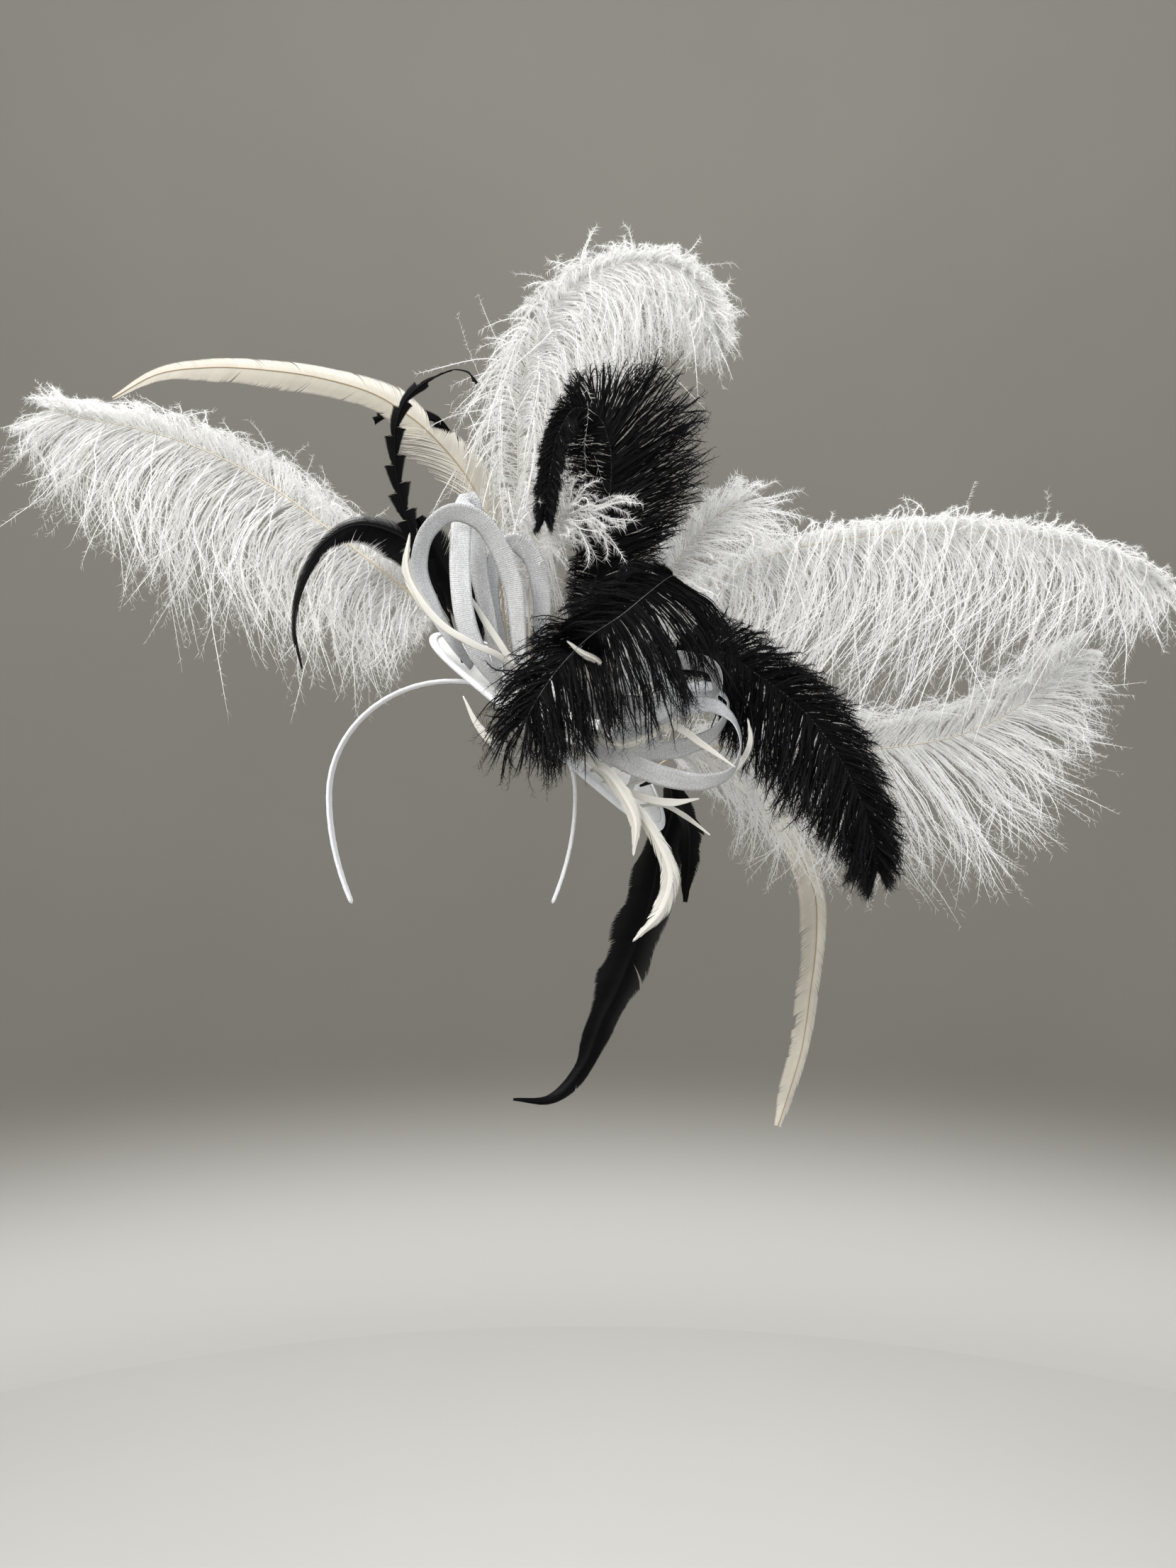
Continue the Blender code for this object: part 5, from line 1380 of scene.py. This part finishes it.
def set_camera(scene):
    """The camera at the photograph's place, level, with its focal length."""
    data = bpy.data.cameras.new("camera")
    data.sensor_fit = "AUTO"
    data.sensor_width = SENSOR_MM
    data.lens = FOCAL_SHARE * SENSOR_MM
    data.clip_start = 0.01
    camera = bpy.data.objects.new("camera", data)
    camera.location = CAMERA_PLACE
    camera.rotation_euler = (math.pi / 2, 0.0, 0.0)
    scene.collection.objects.link(camera)
    scene.camera = camera


# ---- the add-on


def length_choice(label, description, default, least):
    """A length a user would change."""
    return bpy.props.FloatProperty(
        name=label, description=description, default=default, min=least, unit="LENGTH"
    )


def color_choice(label, description, default):
    """A colour a user would change."""
    return bpy.props.FloatVectorProperty(
        name=label, description=description, default=default, min=0.0, max=1.0, size=3, subtype="COLOR"
    )


class FascinatorSizes(bpy.types.PropertyGroup):
    """Sizes of the fine parts."""

    barb_width: length_choice("Barb Width", "Width of one barb of a plume", 0.0008, 0.0001)
    barb_points: bpy.props.IntProperty(
        name="Barb Points", description="Points along one barb of a plume", default=12, min=4, max=40
    )
    barbule_length: length_choice("Barbule Length", "Length of the fine hairs on a barb", 0.0028, 0.0002)
    barbule_width: length_choice("Barbule Width", "Width of a fine hair at its root", 0.00034, 0.0001)
    ribbon_wall: length_choice("Ribbon Wall", "Thickness of the ribbon", 0.00035, 0.0001)


class FascinatorColors(bpy.types.PropertyGroup):
    """Colours of the materials."""

    white_plume: color_choice("White Plume", "Barbs of the white plumes", (0.93, 0.93, 0.92))
    black_plume: color_choice("Black Plume", "Barbs of the black plumes and feathers", (0.004, 0.004, 0.005))
    ivory: color_choice("Ivory Feather", "Vanes of the ivory feathers", (0.8, 0.76, 0.67))
    quill: color_choice("Ivory Quill", "The bare quills", (0.88, 0.86, 0.8))
    ribbon: color_choice("Ribbon", "Woven straw ribbon", (0.9, 0.91, 0.93))
    satin: color_choice("Satin", "Satin of the headband and binding", (0.84, 0.86, 0.9))
    straw: color_choice("Straw Cloth", "Woven cloth of the base", (0.84, 0.84, 0.82))
    wall: color_choice("Wall", "The wall behind", (0.2, 0.192, 0.172))
    floor: color_choice("Floor", "The floor below", (0.6, 0.59, 0.565))


class PieceOperator(bpy.types.Operator):
    """What every operator here shares: it can be undone."""

    bl_options = {"REGISTER", "UNDO"}


class FASCINATOR_OT_stage(PieceOperator):
    """Sets the camera, the floor, the wall and the soft lights"""

    bl_idname = "fascinator.stage"
    bl_label = "Stage"

    def execute(self, context):
        scene = context.scene
        colors = scene.fascinator_colors
        set_camera(scene)
        studio_bowl("stage_floor", FLOOR_PROFILE, plain_finish("floor", colors.floor, 0.03))
        studio_bowl("stage_wall", WALL_PROFILE, plain_finish("wall", colors.wall, 0.05, colors.floor))
        for light in LIGHTS:
            soft_light(*light)
        world = bpy.data.worlds.new("room")
        world.use_nodes = True
        feed(world.node_tree, world.node_tree.nodes["Background"].inputs, {0: (0.95, 0.97, 1.0, 1.0), 1: 1.3})
        scene.world = world
        scene.view_settings.view_transform = "Standard"
        return {"FINISHED"}


class FASCINATOR_OT_headband(PieceOperator):
    """Wraps the headband in satin"""

    bl_idname = "fascinator.headband"
    bl_label = "Headband"

    def execute(self, context):
        headband(finish(context, "satin_band"))
        return {"FINISHED"}


class FASCINATOR_OT_base(PieceOperator):
    """Makes the straw cloth base and its satin binding"""

    bl_idname = "fascinator.base"
    bl_label = "Base And Binding"

    def execute(self, context):
        base_disc(finish(context, "straw_cloth"))
        base_binding(finish(context, "satin_binding"))
        return {"FINISHED"}


class FASCINATOR_OT_plumes(PieceOperator):
    """Grows the barbs and barbules of the ostrich plumes and tufts"""

    bl_idname = "fascinator.plumes"
    bl_label = "Plumes"

    def execute(self, context):
        sizes = context.scene.fascinator_sizes
        for name, spec in PLUMES.items():
            tone, barbs = ("white", WHITE_BARBS) if "white" in name else ("black", BLACK_BARBS)
            look = {**barbs, "quill": tone + "_shaft", **PLUME_LOOKS[name]}
            slot = tone + "_plume"
            plume(name, spec, look, slot, sizes, finish(context, slot), finish(context, look["quill"]))
        return {"FINISHED"}


class FASCINATOR_OT_feathers(PieceOperator):
    """Makes the smooth and the notched feathers"""

    bl_idname = "fascinator.feathers"
    bl_label = "Feathers"

    def execute(self, context):
        for name, spec in {**FEATHERS, **NOTCHED}.items():
            look = {**VANE_LOOK, **FEATHER_LOOKS[name]}
            tone, horn = ("ivory", "tan_shaft") if "ivory" in name else ("black", "black_shaft")
            vane_made, shaft_made = finish(context, tone + "_vane"), finish(context, horn)
            feather(name, spec, look, tone + "_feather", vane_made, shaft_made)
        return {"FINISHED"}


class FASCINATOR_OT_ribbons(PieceOperator):
    """Folds the ribbon loops"""

    bl_idname = "fascinator.ribbons"
    bl_label = "Ribbon Loops"

    def execute(self, context):
        for name, spec in LOOPS.items():
            ribbon_loop(name, spec, context.scene.fascinator_sizes, finish(context, "ribbon"))
        return {"FINISHED"}


class FASCINATOR_OT_quills(PieceOperator):
    """Makes the ivory quills"""

    bl_idname = "fascinator.quills"
    bl_label = "Ivory Quills"

    def execute(self, context):
        for name, spec in BIOTS.items():
            quill(name, spec, {**QUILL_LOOK, **QUILL_LOOKS.get(name, {})}, finish(context, "quill"))
        return {"FINISHED"}


OPERATORS = (
    FASCINATOR_OT_stage,
    FASCINATOR_OT_headband,
    FASCINATOR_OT_base,
    FASCINATOR_OT_plumes,
    FASCINATOR_OT_feathers,
    FASCINATOR_OT_ribbons,
    FASCINATOR_OT_quills,
)


class FASCINATOR_PT_panel(bpy.types.Panel):
    """Lists the fascinator's pieces, sizes and colours"""

    bl_idname = "FASCINATOR_PT_panel"
    bl_label = "Fascinator"
    bl_space_type = "VIEW_3D"
    bl_region_type = "UI"
    bl_category = "Fascinator"

    def draw(self, context):
        for operator in OPERATORS:
            self.layout.operator(operator.bl_idname)
        for group in (context.scene.fascinator_sizes, context.scene.fascinator_colors):
            box = self.layout.box()
            for key in group.__annotations__:
                box.prop(group, key)


CLASSES = (FascinatorSizes, FascinatorColors, *OPERATORS, FASCINATOR_PT_panel)


def register():
    """Adds the classes and the scene's settings."""
    for each in CLASSES:
        bpy.utils.register_class(each)
    bpy.types.Scene.fascinator_sizes = bpy.props.PointerProperty(type=FascinatorSizes)
    bpy.types.Scene.fascinator_colors = bpy.props.PointerProperty(type=FascinatorColors)


def unregister():
    """Takes them out again."""
    del bpy.types.Scene.fascinator_colors
    del bpy.types.Scene.fascinator_sizes
    for each in reversed(CLASSES):
        bpy.utils.unregister_class(each)


def main():
    """Makes the whole scene, in order."""
    register()
    bpy.ops.fascinator.stage()
    bpy.ops.fascinator.headband()
    bpy.ops.fascinator.base()
    bpy.ops.fascinator.plumes()
    bpy.ops.fascinator.feathers()
    bpy.ops.fascinator.ribbons()
    bpy.ops.fascinator.quills()


if __name__ == "__main__":
    main()
